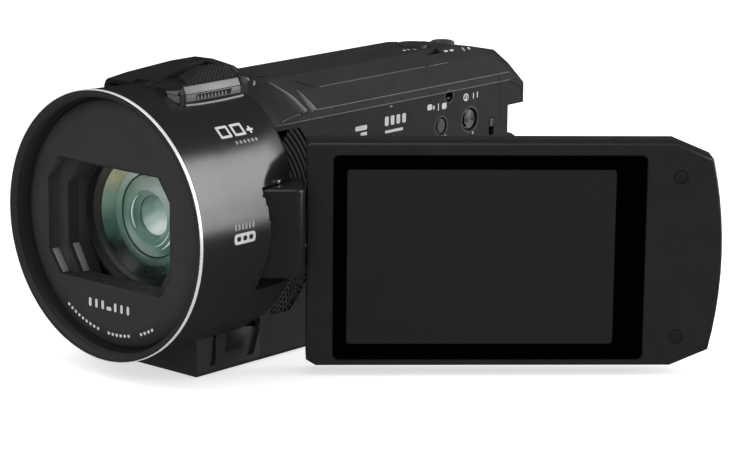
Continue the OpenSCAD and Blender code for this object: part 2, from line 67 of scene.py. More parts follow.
# ---------- places, from the frame ----------
thread = next(m for m in record["mounts"] if m["name"] == "filter_thread")
swing = next(j for j in frame["joints"] if j["name"] == "screen_swing")
turn = next(j for j in frame["joints"] if j["name"] == "screen_turn")
LENS = Vector(thread["pos_m"]) - Vector((0, 0.3, 0)) * MM      # centre of the front ring
HINGE = Vector((swing["pos_m"][0], swing["pos_m"][1], LENS.z))
ALONG = Vector(turn["axis"]).normalized()                      # along the open screen
if ALONG.x < 0:
    ALONG.negate()
BEHIND = Vector((-ALONG.y, ALONG.x, 0))                        # towards the screen's back
UP = Vector((0, 0, 1))


def at_lens(x, y, z):
    """A point in millimetres from the centre of the front ring, y running back."""
    return LENS + Vector((x, y, z)) * MM


def at_screen(u, v, w):
    """A point in millimetres from the hinge axis: u along the screen, v to its back, w up."""
    return HINGE + (ALONG * u + BEHIND * v + UP * w) * MM


def screen_box(name):
    """Lowest and highest corner of a CAD node along the screen's own directions, in millimetres."""
    spots = [(v.co - HINGE) / MM for v in nodes[name].data.vertices]
    axes = [[s.dot(a) for s in spots] for a in (ALONG, BEHIND, UP)]
    return Vector([min(a) for a in axes]), Vector([max(a) for a in axes])


# ---------- material tools ----------
def material(name, colour, rough=0.4, metal=0.0, **inputs):
    mat = bpy.data.materials.new(name)
    mat.use_nodes = True
    shader = mat.node_tree.nodes["Principled BSDF"]
    shader.inputs["Base Color"].default_value = (*colour, 1)
    shader.inputs["Roughness"].default_value = rough
    shader.inputs["Metallic"].default_value = metal
    for key, value in inputs.items():
        shader.inputs[key.replace("_", " ")].default_value = value
    return mat


def add(mat, kind, inputs=None, **settings):
    """A new shader node; inputs are plain values or the outputs that feed them."""
    made = mat.node_tree.nodes.new(kind)
    for key, value in settings.items():
        setattr(made, key, value)
    for key, value in (inputs or {}).items():
        if isinstance(value, bpy.types.NodeSocket):
            mat.node_tree.links.new(value, made.inputs[key])
        else:
            made.inputs[key].default_value = value
    return made


def feed(mat, key, source):
    mat.node_tree.links.new(source, mat.node_tree.nodes["Principled BSDF"].inputs[key])


def place_from(mat, origin, stretch=(1, 1, 1)):
    """Object coordinates in millimetres from the given point."""
    coords = add(mat, "ShaderNodeTexCoord").outputs["Object"]
    moved = add(mat, "ShaderNodeVectorMath", {0: coords, 1: tuple(-origin)}, operation="ADD").outputs[0]
    scale = tuple(s / MM for s in stretch)
    return add(mat, "ShaderNodeVectorMath", {0: moved, 1: scale}, operation="MULTIPLY").outputs[0]


def noise(mat, size, detail=3.0, stretch=(1, 1, 1)):
    """A noise field with blobs of about the given size in millimetres."""
    place = place_from(mat, LENS, stretch)
    made = add(mat, "ShaderNodeTexNoise", {"Vector": place, "Scale": 1 / size, "Detail": detail})
    return made.outputs["Fac"]


def maths(mat, operation, a, b=0.0):
    return add(mat, "ShaderNodeMath", {0: a, 1: b}, operation=operation).outputs[0]


def ramp(mat, field, stops, shape="LINEAR"):
    made = add(mat, "ShaderNodeValToRGB", {"Fac": field})
    scale = made.color_ramp
    scale.interpolation = shape
    while len(scale.elements) < len(stops):
        scale.elements.new(0.5)
    for element, (place, value) in zip(scale.elements, stops):
        element.position = place
        element.color = (value, value, value, 1) if isinstance(value, float) else (*value, 1)
    return made.outputs["Color"]


def vary(mat, colour, amount, size=6.0):
    low, high = [tuple(c * (1 + s * amount) for c in colour) for s in (-1, 1)]
    feed(mat, "Base Color", ramp(mat, noise(mat, size), [(0.3, low), (0.7, high)]))


def vary_rough(mat, rough, amount, size=2.5):
    feed(mat, "Roughness", ramp(mat, noise(mat, size, 4.0), [(0.3, rough - amount), (0.7, rough + amount)]))


def bump(mat, field, strength, depth):
    """Depth is in millimetres."""
    made = add(mat, "ShaderNodeBump", {"Height": field, "Strength": strength, "Distance": depth * MM})
    feed(mat, "Normal", made.outputs["Normal"])


def moulded(name, colour, rough, grain=0.3, depth=0.02, spread=0.08, swing=0.04, shine=0.5):
    """Moulded plastic: fine spark-eroded grain, slow changes of tone and of gloss."""
    mat = material(name, colour, rough, Specular_IOR_Level=shine)
    vary(mat, colour, spread)
    vary_rough(mat, rough, swing)
    bump(mat, noise(mat, grain, 2.0), 0.35, depth)
    return mat


def brushed(name, colour, rough, stretch, **inputs):
    """Metal with fine lines along one direction."""
    mat = material(name, colour, rough, 1.0, **inputs)
    lines = noise(mat, 0.12, 3.0, stretch)
    feed(mat, "Roughness", ramp(mat, lines, [(0.3, rough * 0.7), (0.7, rough * 1.4)]))
    tones = [(0.3, tuple(c * 0.94 for c in colour)), (0.7, colour)]
    feed(mat, "Base Color", ramp(mat, noise(mat, 5.0), tones))
    bump(mat, lines, 0.2, 0.01)
    return mat


def radial(mat, origin, flat_axis):
    """Distance in millimetres from an axis through origin; flat_axis is 0, 1 or 2."""
    stretch = [1, 1, 1]
    stretch[flat_axis] = 0
    return add(mat, "ShaderNodeVectorMath", {0: place_from(mat, origin, stretch)},
               operation="LENGTH").outputs["Value"]


def graded(name, direction, low, high, stops, rough=0.12, **inputs):
    """A lens surface whose colour changes along a direction, low and high in millimetres from the axis. On the
    lens elements, the front glass and the retaining ring this change is painted reflection and painted shade,
    lighter on the side of the light; on the sensor it is the tint of its coating.
    """
    mat = material(name, (0.3, 0.4, 0.35), rough, **inputs)
    way = add(mat, "ShaderNodeVectorMath", {0: place_from(mat, LENS), 1: direction}, operation="DOT_PRODUCT")
    part = maths(mat, "DIVIDE", maths(mat, "SUBTRACT", way.outputs["Value"], low), high - low)
    drift = maths(mat, "MULTIPLY", maths(mat, "SUBTRACT", noise(mat, 6.0, 1.0), 0.5), 0.15)
    feed(mat, "Base Color", ramp(mat, maths(mat, "ADD", part, drift), stops, "EASE"))
    vary_rough(mat, rough, rough * 0.2, 4.0)
    return mat


def turned_metal(name, origin, flat_axis, colour):
    """Spun metal: fine rings and the light and dark fans that they make."""
    mat = material(name, colour, 0.3, 1.0)
    away = radial(mat, origin, flat_axis)
    rings = maths(mat, "SINE", maths(mat, "MULTIPLY", away, 42.0))
    bump(mat, rings, 0.35, 0.012)
    grit = noise(mat, 0.4)
    feed(mat, "Base Color", ramp(mat, grit, [(0.2, tuple(c * 0.75 for c in colour)), (0.8, colour)]))
    vary_rough(mat, 0.3, 0.06, 0.6)
    return mat


def woven(name, colour, pitch):
    """Woven webbing: two crossed sets of threads with slubs and worn tops."""
    mat = material(name, colour, 0.85, Sheen_Weight=0.3, Sheen_Roughness=0.5)
    parts = add(mat, "ShaderNodeSeparateXYZ", {0: place_from(mat, LENS)})
    along_waves, upright_waves = [
        maths(mat, "SINE", maths(mat, "MULTIPLY", parts.outputs[axis],
                                 2 * math.pi / pitch)) for axis in ("Y", "Z")]
    weave = maths(mat, "MULTIPLY", along_waves, upright_waves)
    mix = maths(mat, "ADD", maths(mat, "MULTIPLY", weave, 0.3), noise(mat, 0.8))
    tones = [(0.25, tuple(c * 0.6 for c in colour)), (0.8, tuple(c * 1.5 for c in colour))]
    feed(mat, "Base Color", ramp(mat, mix, tones))
    vary_rough(mat, 0.85, 0.06)
    bump(mat, weave, 0.6, 0.12)
    return mat


# ---------- materials ----------
def grey(level, blue=None):
    """A grey, or one with a slightly bluer or duller last channel."""
    return level, level, level if blue is None else blue


casing_grey = moulded("casing_grey", grey(0.0195, 0.02), 0.62, shine=0.12)
top_grey = moulded("top_grey", grey(0.0205, 0.021), 0.62, shine=0.15)
foot_grey = moulded("foot_grey", grey(0.021, 0.0215), 0.5, shine=0.35)
grip_grey = moulded("grip_grey", grey(0.014, 0.0145), 0.6, grain=0.5, depth=0.05)
barrel_black = moulded("barrel_black", grey(0.0125, 0.0128), 0.23, grain=0.25, depth=0.002, spread=0.04,
                       swing=0.015, shine=0.6)
bezel_grey = moulded("bezel_grey", grey(0.02, 0.0205), 0.5, grain=0.3, depth=0.004, shine=0.2)
bezel_black = moulded("bezel_black", grey(0.011, 0.0112), 0.34, grain=0.25, depth=0.004, spread=0.05)
plate_grey = moulded("plate_grey", grey(0.0235, 0.024), 0.55, shine=0.3)
pod_grey = moulded("pod_grey", grey(0.0125, 0.013), 0.5, shine=0.2)
gap_black = moulded("gap_black", grey(0.003), 0.8, grain=0.4)
ring_metal = brushed("ring_metal", grey(0.9), 0.3, (0.2, 4, 0.2))
ring_metal.node_tree.nodes["Principled BSDF"].inputs["Metallic"].default_value = 0.5
steel = brushed("steel", grey(0.6, 0.61), 0.3, (4, 0.5, 4))
screen_grey = moulded("screen_grey", grey(0.0135, 0.0138), 0.4, shine=0.4)
screen_glass = moulded("screen_glass", grey(0.0002, 0.00024), 0.12, grain=8.0, depth=0.0001, swing=0.01,
                       shine=0.1)
screen_lit = moulded("screen_lit", grey(0.0132, 0.0135), 0.35, grain=6.0, depth=0.0001, spread=0.02,
                     swing=0.01, shine=0.15)
rubber = moulded("rubber", grey(0.0075, 0.0078), 0.75, grain=0.4, depth=0.04)
button_grey = moulded("button_grey", grey(0.024, 0.0245), 0.4)
knob_grey = moulded("knob_grey", grey(0.05, 0.052), 0.42)
battery_grey = moulded("battery_grey", grey(0.03, 0.031), 0.45)
print_white = moulded("print_white", grey(0.55), 0.5, grain=0.2, depth=0.004)
print_dim = moulded("print_dim", grey(0.2), 0.5, grain=0.2, depth=0.004)
record_red = moulded("record_red", (0.35, 0.012, 0.01), 0.35)
board_green = moulded("board_green", (0.008, 0.06, 0.025), 0.4, grain=1.2, depth=0.05, spread=0.3)
brass = brushed("brass", (0.72, 0.5, 0.2), 0.28, (1, 4, 1))
interior_black = moulded("interior_black", grey(0.006), 0.6)
webbing = woven("webbing", grey(0.012, 0.013), 1.1)
padding = woven("padding", grey(0.016, 0.018), 0.7)
stitching = moulded("stitching", grey(0.06, 0.062), 0.8, grain=0.15, depth=0.03)
card_blue = moulded("card_blue", (0.02, 0.04, 0.12), 0.4)
sensor_glass = graded("sensor_glass", (0, 0, 1), -5, 5,
                      [(0.0, (0.02, 0.03, 0.06)), (1.0, (0.05, 0.02, 0.07))])
# painted light and shade: the retaining ring is near black at the bottom and lighter olive at the top
olive_ring_painted_shade = graded("olive_ring_painted_shade", (0, 0, 1), -15, 12,
                    [(0.0, (0.004, 0.008, 0.004)), (0.35, (0.012, 0.018, 0.012)), (0.7, (0.03, 0.03, 0.02)),
                     (1.0, (0.05, 0.048, 0.034))], rough=0.4)
power_metal = turned_metal("power_metal", (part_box("power_button")[0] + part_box("power_button")[1]) / 2, 0,
                           grey(0.1, 0.102))
# painted reflection: the front glass and the elements are tinted teal, and their colour is lighter on the side of
# the light, where the lamps' reflection would be
front_glass = graded("front_glass", (0, 0, 1), -15, 15, [(0.0, (0.08, 0.14, 0.12)), (1.0, (0.2, 0.2, 0.14))],
                     rough=0.05, Alpha=0.05, IOR=1.6)
outer_tint_painted_reflection = graded("outer_tint_painted_reflection", (0.25, 0, 1), -13, 13,
                       [(0.08, (0.006, 0.012, 0.008)), (0.2, (0.035, 0.095, 0.078)),
                        (0.5, (0.17, 0.27, 0.215)), (0.72, (0.34, 0.36, 0.22)),
                        (0.95, (0.44, 0.44, 0.31))], rough=0.25)
middle_tint_painted_reflection = graded("middle_tint_painted_reflection", (0.55, 0, 0.9), -10, 11,
                        [(0.0, (0.3, 0.42, 0.37)), (0.28, (0.1, 0.2, 0.16)), (0.55, (0.15, 0.26, 0.215)),
                         (0.8, (0.3, 0.39, 0.35)), (1.0, (0.44, 0.52, 0.48))], rough=0.2)
rim_tint_painted_reflection = graded("rim_tint_painted_reflection", (0.3, 0, 1), -12, 12,
                     [(0.05, (0.06, 0.11, 0.085)), (0.25, (0.09, 0.18, 0.145)), (0.55, (0.17, 0.28, 0.23)),
                      (0.9, (0.44, 0.51, 0.47))], rough=0.15)
# painted highlight: the core element runs to near white at its lit edge
core_tint_painted_highlight = graded("core_tint_painted_highlight", (0.5, 0, -0.9), -5, 5,
                      [(0.0, (0.12, 0.2, 0.17)), (0.35, (0.18, 0.29, 0.25)), (0.6, (0.42, 0.55, 0.5)),
                       (0.85, (0.82, 0.9, 0.86))], rough=0.1)
# painted highlight colour for the arcs on the lens elements' edges
painted_glint = moulded("painted_glint", (0.72, 0.8, 0.76), 0.2, grain=2.0, depth=0.002)
# painted reflection: the inner elements are lighter towards the top
inner_tint_painted_reflection = graded("inner_tint_painted_reflection", (0, 0, 1), -8, 8, [(0.0, (0.2, 0.3, 0.27)), (1.0, (0.4, 0.5, 0.46))],
                       rough=0.08)
# painted highlight colour for the bars along the collar's and the roof's edges
edge_painted_highlight = moulded("edge_painted_highlight", grey(0.085, 0.087), 0.45)
# painted light for the window's lower step walls
step_painted_light = moulded("step_painted_light", grey(0.19, 0.192), 0.45)
# facet_dim also paints the window's upper step walls a little lighter
facet_dim = moulded("facet_dim", grey(0.036, 0.037), 0.45)
collar_black = moulded("collar_black", grey(0.0165, 0.017), 0.4, grain=0.25, depth=0.004, shine=0.4)
# painted shade and painted highlight for the roof deck's front edge
deck_painted_shade = moulded("deck_painted_shade", grey(0.009), 0.6)
lip_painted_highlight = moulded("lip_painted_highlight", grey(0.03, 0.031), 0.45)
crease_painted_highlight = moulded("crease_painted_highlight", grey(0.05, 0.051), 0.5)
tunnel_brown = moulded("tunnel_brown", (0.034, 0.031, 0.028), 0.6)
print_light = moulded("print_light", grey(0.42), 0.5, grain=0.2, depth=0.004)
rib_grey = moulded("rib_grey", grey(0.02, 0.0205), 0.6, shine=0.12)
vent_dark = moulded("vent_dark", grey(0.010, 0.0102), 0.7)
# painted light: one silver trim in two copies, lighter for the upper band and the pod line, darker for the lower
# band, teeth and front band
silver_painted_lit = moulded("silver_painted_lit", grey(0.15, 0.152), 0.45)
silver_painted_shade = moulded("silver_painted_shade", grey(0.1, 0.102), 0.45)
pod_light = moulded("pod_light", grey(0.04, 0.041), 0.5)
foot_dark = moulded("foot_dark", grey(0.009, 0.0095), 0.5)

# ---------- mesh tools ----------
def piece(name, bm, mat, body, smooth=35, stands_for=()):
    """Turns a bmesh into a piece that rides on a body."""
    bmesh.ops.recalc_face_normals(bm, faces=bm.faces)
    mesh = bpy.data.meshes.new(name)
    bm.to_mesh(mesh)
    bm.free()
    mesh.shade_smooth()
    mesh.set_sharp_from_angle(angle=math.radians(smooth))
    mesh.materials.append(mat)
    obj = bpy.data.objects.new(name, mesh)
    scene.collection.objects.link(obj)
    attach(obj, body)
    if stands_for:
        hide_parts(*stands_for)
    return obj


def bridge(bm, first, second):
    """The faces between two rings of as many points."""
    for k in range(len(first)):
        n = (k + 1) % len(first)
        bm.faces.new([first[k], first[n], second[n], second[k]])


def solid(bm, first, second):
    """A closed solid between two outlines of as many points."""
    bm.faces.new(first)
    bm.faces.new(second[::-1])
    bridge(bm, first, second)


def tube(bm, rings):
    """A bar through a row of rings, closed at both ends."""
    for first, second in zip(rings, rings[1:]):
        bridge(bm, first, second)
    bm.faces.new(rings[0])
    bm.faces.new(rings[-1][::-1])


def hoop(bm, rings):
    """The same, with the last ring joined to the first."""
    for first, second in zip(rings, rings[1:] + rings[:1]):
        bridge(bm, first, second)


def prism(bm, outline, low, high, place):
    """A closed solid between two copies of an outline; place(a, b, depth) gives a point."""
    first, second = [[bm.verts.new(place(a, b, d)) for a, b in outline] for d in (low, high)]
    solid(bm, first, second)


def soften(bm, width, segments=3, angle=25, only=None):
    """Rounds the edges that turn by more than the angle."""
    bmesh.ops.recalc_face_normals(bm, faces=bm.faces)
    edges = [e for e in bm.edges if e.is_manifold and e.calc_face_angle(0) > math.radians(angle)
             and (only is None or only(e))]
    bmesh.ops.bevel(bm, geom=edges, offset=width * MM, segments=segments, profile=0.5, affect="EDGES",
                    clamp_overlap=True)


def lathe(bm, profile, place, steps=128):
    """Turns a closed profile of (radius, depth) about an axis; place(a, b, depth) gives a point."""
    rings = []
    for r, d in profile:
        if r < 1e-6:
            rings.append([bm.verts.new(place(0, 0, d))] * steps)
        else:
            rings.append([bm.verts.new(place(r * math.cos(t), r * math.sin(t), d))
                          for t in (2 * math.pi * k / steps for k in range(steps))])
    for first, second in zip(rings, rings[1:] + rings[:1]):
        if first[0] is first[-1] and second[0] is second[-1]:
            continue
        for k in range(steps):
            corners = [first[k], first[(k + 1) % steps], second[(k + 1) % steps], second[k]]
            unique = list(dict.fromkeys(corners))
            if len(unique) > 2:
                bm.faces.new(unique)


def slab(name, outline, low, high, place, mat, body="body", rounding=None, stands_for=()):
    """A piece made of one prism; rounding is the width, segments and angle for its edges."""
    bm = bmesh.new()
    prism(bm, outline, low, high, place)
    if rounding:
        soften(bm, *rounding)
    return piece(name, bm, mat, body, stands_for=stands_for)


def slabs(name, outlines, low, high, place, mat):
    """A piece made of several prisms of the same depth."""
    bm = bmesh.new()
    for outline in outlines:
        prism(bm, outline, low, high, place)
    piece(name, bm, mat, "body")


def turned(name, profile, place, mat, body="body", steps=128, smooth=35, stands_for=()):
    """A piece made of one turned profile."""
    bm = bmesh.new()
    lathe(bm, profile, place, steps)
    return piece(name, bm, mat, body, smooth, stands_for)


def shifted(place, a0, b0):
    """The same way of drawing, about another point."""
    return lambda a, b, d: place(a0 + a, b0 + b, d)


def rounded(w, h, r, steps=6, cx=0.0, cy=0.0):
    """Outline of a rectangle with rounded corners."""
    return [(cx + sx * (w / 2 - r) + r * math.cos(t), cy + sy * (h / 2 - r) + r * math.sin(t))
            for q, (sx, sy) in enumerate([(1, 1), (-1, 1), (-1, -1), (1, -1)])
            for t in (math.pi / 2 * (q + k / steps) for k in range(steps + 1))]


def circle(r, steps=48, cx=0.0, cy=0.0):
    return [(cx + r * math.cos(2 * math.pi * k / steps), cy + r * math.sin(2 * math.pi * k / steps))
            for k in range(steps)]


def lens_side(a, b, d):      # drawn on the side wall: a back, b up, d outwards
    return at_lens(d, a, b)


def lens_front(a, b, d):     # drawn across the lens: a to the side, b up, d back
    return at_lens(a, d, b)


def screen_face(a, b, d):    # drawn on the screen: a along, b up, d towards its back
    return at_screen(a, d, b)


def screen_plan(a, b, d):    # drawn on the screen's plan: a along, b towards its back, d up
    return at_screen(a, b, d)


def skin(*names):
    """Something to press details onto: the surface of some CAD nodes."""
    verts, faces = [], []
    for name in names:
        start = len(verts)
        verts += [v.co.copy() for v in nodes[name].data.vertices]
        faces += [[start + i for i in p.vertices] for p in nodes[name].data.polygons]
    return BVHTree.FromPolygons(verts, faces)


# ---------- CAD nodes that stay: finish and rounded edges ----------
FINISH = (
    (casing_grey, "left_shell right_shell rear_cover terminal_door"),
    (top_grey, "top_cover"),
    (foot_grey, "base_plate lower_front_cover"),
    (inner_tint_painted_reflection, "zoom_group focus_group rear_lens"),
    (sensor_glass, "image_sensor"),
    (interior_black, "lens_tube iris_unit speaker lcd_display battery_cradle"),
    (steel, "guide_rods zoom_motor hinge_bracket hinge_pin swivel_shaft"),
    (steel, "terminal_sockets tripod_bush card_slot base_screws"),
    (board_green, "sensor_board main_board control_board lcd_board"),
    (brass, "mic_capsules battery_contacts"),
    (pod_grey, "mic_housing"),
    (button_grey, "mode_button photo_button battery_latch"),
    (power_metal, "power_button"),
    (knob_grey, "zoom_lever"),
    (record_red, "record_button"),
    (battery_grey, "battery"),
    (card_blue, "memory_card"),
    (grip_grey, "strap_anchors"),
)
EDGE = {"left_shell": 0.3, "right_shell": 0.8, "rear_cover": 0.35, "top_cover": 0.25, "battery": 0.5,
        "mic_housing": 0.3, "hinge_bracket": 0.1, "memory_card": 0.1, "card_slot": 0.1, "strap_anchors": 0.5}
for name, mat in ((name, mat) for mat, names in FINISH for name in names.split()):
    obj = nodes[name]
    obj.material_slots[0].material = mat
    weld = obj.modifiers.new("weld", "WELD")
    weld.merge_threshold = 1e-6
    edge = obj.modifiers.new("edge", "BEVEL")
    edge.width = EDGE.get(name, 0.15) * MM
    edge.segments = 3
    edge.limit_method = "ANGLE"
    edge.angle_limit = math.radians(12)
    edge.harden_normals = True
    obj.modifiers.new("normals", "WEIGHTED_NORMAL").keep_sharp = False

# ---------- lens front: profiles of radius and depth behind the front ring's plane ----------
def cap(front, curve, radii):
    """Points on a dome that starts at the front depth and has the given radius of curvature."""
    return [(r, front + curve - math.sqrt(curve ** 2 - r * r)) for r in radii]


turned("front_ring", [(32.28, 0.02), (32.4, 0.0), (32.5, 0.1), (32.5, 0.8), (32.42, 0.9), (32.28, 0.9)],
       lens_front, ring_metal, steps=256, stands_for=["trim_ring"])
GLASS_R, GLASS_STEPS = 15.6, 14
dome = cap(10.2, 28, [GLASS_R * k / GLASS_STEPS for k in range(1, GLASS_STEPS + 1)])
turned("front_element", [(0.0, 10.2)] + dome + [(GLASS_R, 15.6), (0.0, 15.6)], lens_front, front_glass,
       steps=160, stands_for=["front_glass"])
turned("retaining_ring", [(19.5, 12.6), (16.4, 12.4), (15.6, 12.6), (14.8, 13.1), (14.5, 13.5), (14.5, 14.4),
                          (19.5, 14.4)], lens_front, olive_ring_painted_shade)
turned("outer_element", [(14.5, 13.5), (13.9, 14.1), (13.0, 15.1), (12.2, 15.9), (12.1, 17.4), (14.5, 17.4)],
       lens_front, outer_tint_painted_reflection, steps=160)
turned("element_rim", [(12.2, 15.95), (11.8, 15.75), (11.0, 15.75), (10.35, 16.1), (10.3, 17.4),
                       (12.2, 17.4)], lens_front, rim_tint_painted_reflection, steps=160)
swell = cap(14.0, 22.0, (6.4, 7.0, 7.8, 8.6, 9.4, 10.3))
turned("middle_element", [(4.9, 17.0), (5.7, 16.3), (6.2, 15.6)] + swell + [(10.3, 17.8), (4.9, 17.8)],
       lens_front, middle_tint_painted_reflection, steps=160, smooth=20)
turned("inner_element", [(0.0, 16.0)] + cap(16.0, 9, (1.2, 2.4, 3.4, 4.3, 5.0)) + [(5.0, 17.9), (0.0, 17.9)],
       lens_front, core_tint_painted_highlight)

# painted highlights: bright arcs on the elements' edges, only on the side of the light
GLINTS = ((8.3, 8.75, 15.45, -62, 22), (9.35, 9.6, 15.8, -48, 8), (5.9, 6.15, 15.3, 130, 215),
          (7.3, 7.5, 15.1, -75, -20))       # inner and outer radius, depth, first and last angle
bm = bmesh.new()
for r0, r1, depth, start, end in GLINTS:
    spots = []
    for k in range(25):
        f = k / 24
        t = math.radians(start + (end - start) * f)
        half = (r1 - r0) / 2 * math.sin(math.pi * f) ** 0.6 + 0.01
        mid = (r0 + r1) / 2
        spots.append([bm.verts.new(at_lens(q * math.cos(t), d, q * math.sin(t)))
                      for q, d in ((mid - half, depth), (mid + half, depth), (mid + half, depth + 0.4),
                                   (mid - half, depth + 0.4))])
    tube(bm, spots)
piece("painted_edge_glints", bm, painted_glint, "body")

# ---------- screen ----------
frame_low, frame_high = screen_box("lcd_front_frame")
cover_high = screen_box("lcd_back_cover")[1]
glass_low, glass_high = screen_box("lcd_glass")
display_low, display_high = screen_box("lcd_display")
BULGE_FROM = 87.0 + frame_low.x       # where the panel's end starts to bow out
BULGE_R, CORNER_R = 103.0, 1.1
SEAM = 0.12                           # half the gap between the screen's two halves


def panel_outline(inset=0.0):
    """The panel's outline, seen from the front."""
    left, right = frame_low.x + inset, frame_high.x
    low, high = frame_low.z + inset, frame_high.z - inset
    middle = (low + high) / 2
    centre, r = right - BULGE_R, BULGE_R - inset
    bow = [(centre + r * math.cos(t), middle + r * math.sin(t))
           for t in (math.radians(-13 + 2.6 * k) for k in range(11))]
    corner = [(left + CORNER_R * (1 - math.cos(t)), high - CORNER_R * (1 - math.sin(t)))
              for t in (math.pi / 2 * (1 - k / 4) for k in range(5))]
    return [(left, low + 1.4), (left + 2.3, low), (BULGE_FROM, low)] + bow + [(BULGE_FROM, high)] + corner


def half_case(name, from_depth, to_depth, face, width, segments, mat, node):
    """One half of the screen's case, rounded along the edge of its outer face."""
    bm = bmesh.new()
    prism(bm, panel_outline(), from_depth, to_depth, screen_face)
    soften(bm, width, segments, 30,
           only=lambda e: all(abs((v.co - HINGE).dot(BEHIND) / MM - face) < 0.01 for v in e.verts))
    piece(name, bm, mat, "screen", stands_for=[node])


front, back = frame_low.y, cover_high.y
half_case("screen_frame", front, frame_high.y - SEAM, front, 0.75, 4, screen_grey, "lcd_front_frame")
slab("screen_seam", panel_outline(0.25), frame_high.y - 0.4, frame_high.y + 0.3, screen_face, gap_black,
     "screen")
half_case("screen_back", frame_high.y + SEAM, back, back, 1.6, 5, casing_grey, "lcd_back_cover")

glass_w, glass_h = glass_high.x - glass_low.x, glass_high.z - glass_low.z
glass_mid = ((glass_low.x + glass_high.x) / 2, (glass_low.z + glass_high.z) / 2)
slab("glass_gap", rounded(glass_w + 0.5, glass_h + 0.5, 1.5, 6, *glass_mid), front - 0.01, front + 0.6,
     screen_face, gap_black, "screen")
slab("screen_glass", rounded(glass_w, glass_h, 1.3, 6, *glass_mid), front - 0.05, front + 0.6, screen_face,
     screen_glass, "screen", (0.03, 2, 60), ["lcd_glass"])
ACTIVE_W, ACTIVE_H = 63.4, 42.3       # the lit area
active_mid = ((display_low.x + display_high.x) / 2, (display_low.z + display_high.z) / 2)
slab("screen_picture_area", rounded(ACTIVE_W, ACTIVE_H, 0.7, 4, *active_mid), front - 0.06, front + 0.5,
     screen_face, screen_lit, "screen")

BUMPER_R = 1.65
bumper_low, bumper_high = screen_box("lcd_bumpers")
for side, z in (("lower", bumper_low.z + BUMPER_R), ("upper", bumper_high.z - BUMPER_R)):
    place = shifted(screen_face, (bumper_low.x + bumper_high.x) / 2, z)
    bumper = turned(f"{side}_bumper", [(0.0, front - 0.22), (1.1, front - 0.2), (1.45, front - 0.05),
                                       (1.45, front + 0.3), (0.0, front + 0.3)],
                    place, rubber, "screen", 48)
    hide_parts("lcd_bumpers")
    turned(f"{side}_bumper_seat", [(1.5, front - 0.01), (1.75, front - 0.01), (1.75, front + 0.2),
                                   (1.5, front + 0.2)], place, gap_black, "screen", 48)

# ---------- hinge block ----------
block_low, block_high = screen_box("hinge_block")
KNUCKLE = -block_low.x
HEEL_R, TOE_R = 3.1, 2.2              # rounding of the block's two corners beside the screen
outline = [(KNUCKLE * math.cos(t), KNUCKLE * math.sin(t))
           for t in (math.radians(90 + 7.5 * k) for k in range(25))]
outline += [(block_high.x - HEEL_R + HEEL_R * math.sin(t), -KNUCKLE + HEEL_R * (1 - math.cos(t)))
            for t in (math.radians(15 * k) for k in range(7))]
outline += [(block_high.x - TOE_R + TOE_R * math.cos(t), KNUCKLE - TOE_R + TOE_R * math.sin(t))
            for t in (math.radians(15 * k) for k in range(7))]
slab("hinge_barrel", outline, block_low.z, block_high.z, screen_plan, bezel_black,
     "screen_arm", (0.9, 4, 40), ["hinge_block"])

# ---------- barrel ----------
RADIUS = 32.05
EDGE_Y = 34.7                         # upright rear edge of the barrel
TAPER_FROM, TAPER = 25, 1.15          # where the near side starts to taper, and by how much in all
KNUCKLE_AT, KNUCKLE_ROOM = Vector((26.5, 29.5)), 8.0
SLOT_LOW, SLOT_TOP, SLOT_DEPTH = -14.0, 10.3, 13.0
SLOT_EDGE = 0.4                       # the width over which the slot's walls fall
HOLLOW_AT, HOLLOW_HALF, HOLLOW_DEPTH = (31.5, 9.6), (8.6, 5.8), 2.1


def barrel_radius(t, y):
    """The barrel's outer radius: tapered at the back, cut and hollowed for the hinge."""
    r = RADIUS
    x, z = RADIUS * math.cos(t), RADIUS * math.sin(t)
    if y > TAPER_FROM and x > 0:
        r -= TAPER * ((y - TAPER_FROM) / (EDGE_Y - TAPER_FROM)) ** 2 * min(max((26 - z) / 12, 0), 1)
    if x < 15:
        return r
    reach = KNUCKLE_ROOM ** 2 - (x - KNUCKLE_AT.x) ** 2
    left = KNUCKLE_AT.y - math.sqrt(max(reach, 0))
    inside = min(y - left, SLOT_TOP - z, z - SLOT_LOW)
    cut = SLOT_DEPTH * min(max(inside / SLOT_EDGE, 0), 1)
    hollow = 0.0
    if z > 8.5:
        e = ((y - HOLLOW_AT[0]) / HOLLOW_HALF[0]) ** 2 + ((z - HOLLOW_AT[1]) / HOLLOW_HALF[1]) ** 2
        if e < 1:
            hollow = HOLLOW_DEPTH * (1 - e) ** 1.7
    return r - max(cut, hollow)


# the angles and depths lie closer together round the hinge
angles = [-180 + 3 * k for k in range(44)] + [-48 + 0.8 * k for k in range(113)] + [42.3, 44.3] + \
         [47 + 3.325 * k for k in range(41)]
angles = [math.radians(a) for a in sorted(set(angles)) if a < 179.5]
depths = [10.5, 10.8] + [12 + 1.5 * k for k in range(5)] + [19 + 0.42 * k for k in range(37)] + [EDGE_Y]
bm = bmesh.new()
rows = []
for t in angles:
    outer = [(barrel_radius(t, y), y) for y in depths]
    outer[0] = (outer[0][0] + 0.01, 10.45)
    rim = outer[-1][0]
    ring = outer + [(rim - 0.35, EDGE_Y + 0.25), (rim - 0.9, EDGE_Y + 0.35),
                    (min(rim - 3, 28.5), EDGE_Y + 1.4)]
    ring += [(min(30.2, r - 1.6), y) for r, y in reversed(outer[1:-1:6])] + [(30.2, 10.5)]
    rows.append([bm.verts.new(at_lens(r * math.cos(t), y, r * math.sin(t))) for r, y in ring])
hoop(bm, rows)
piece("barrel_shell", bm, barrel_black, "body", smooth=50, stands_for=["barrel_cover"])

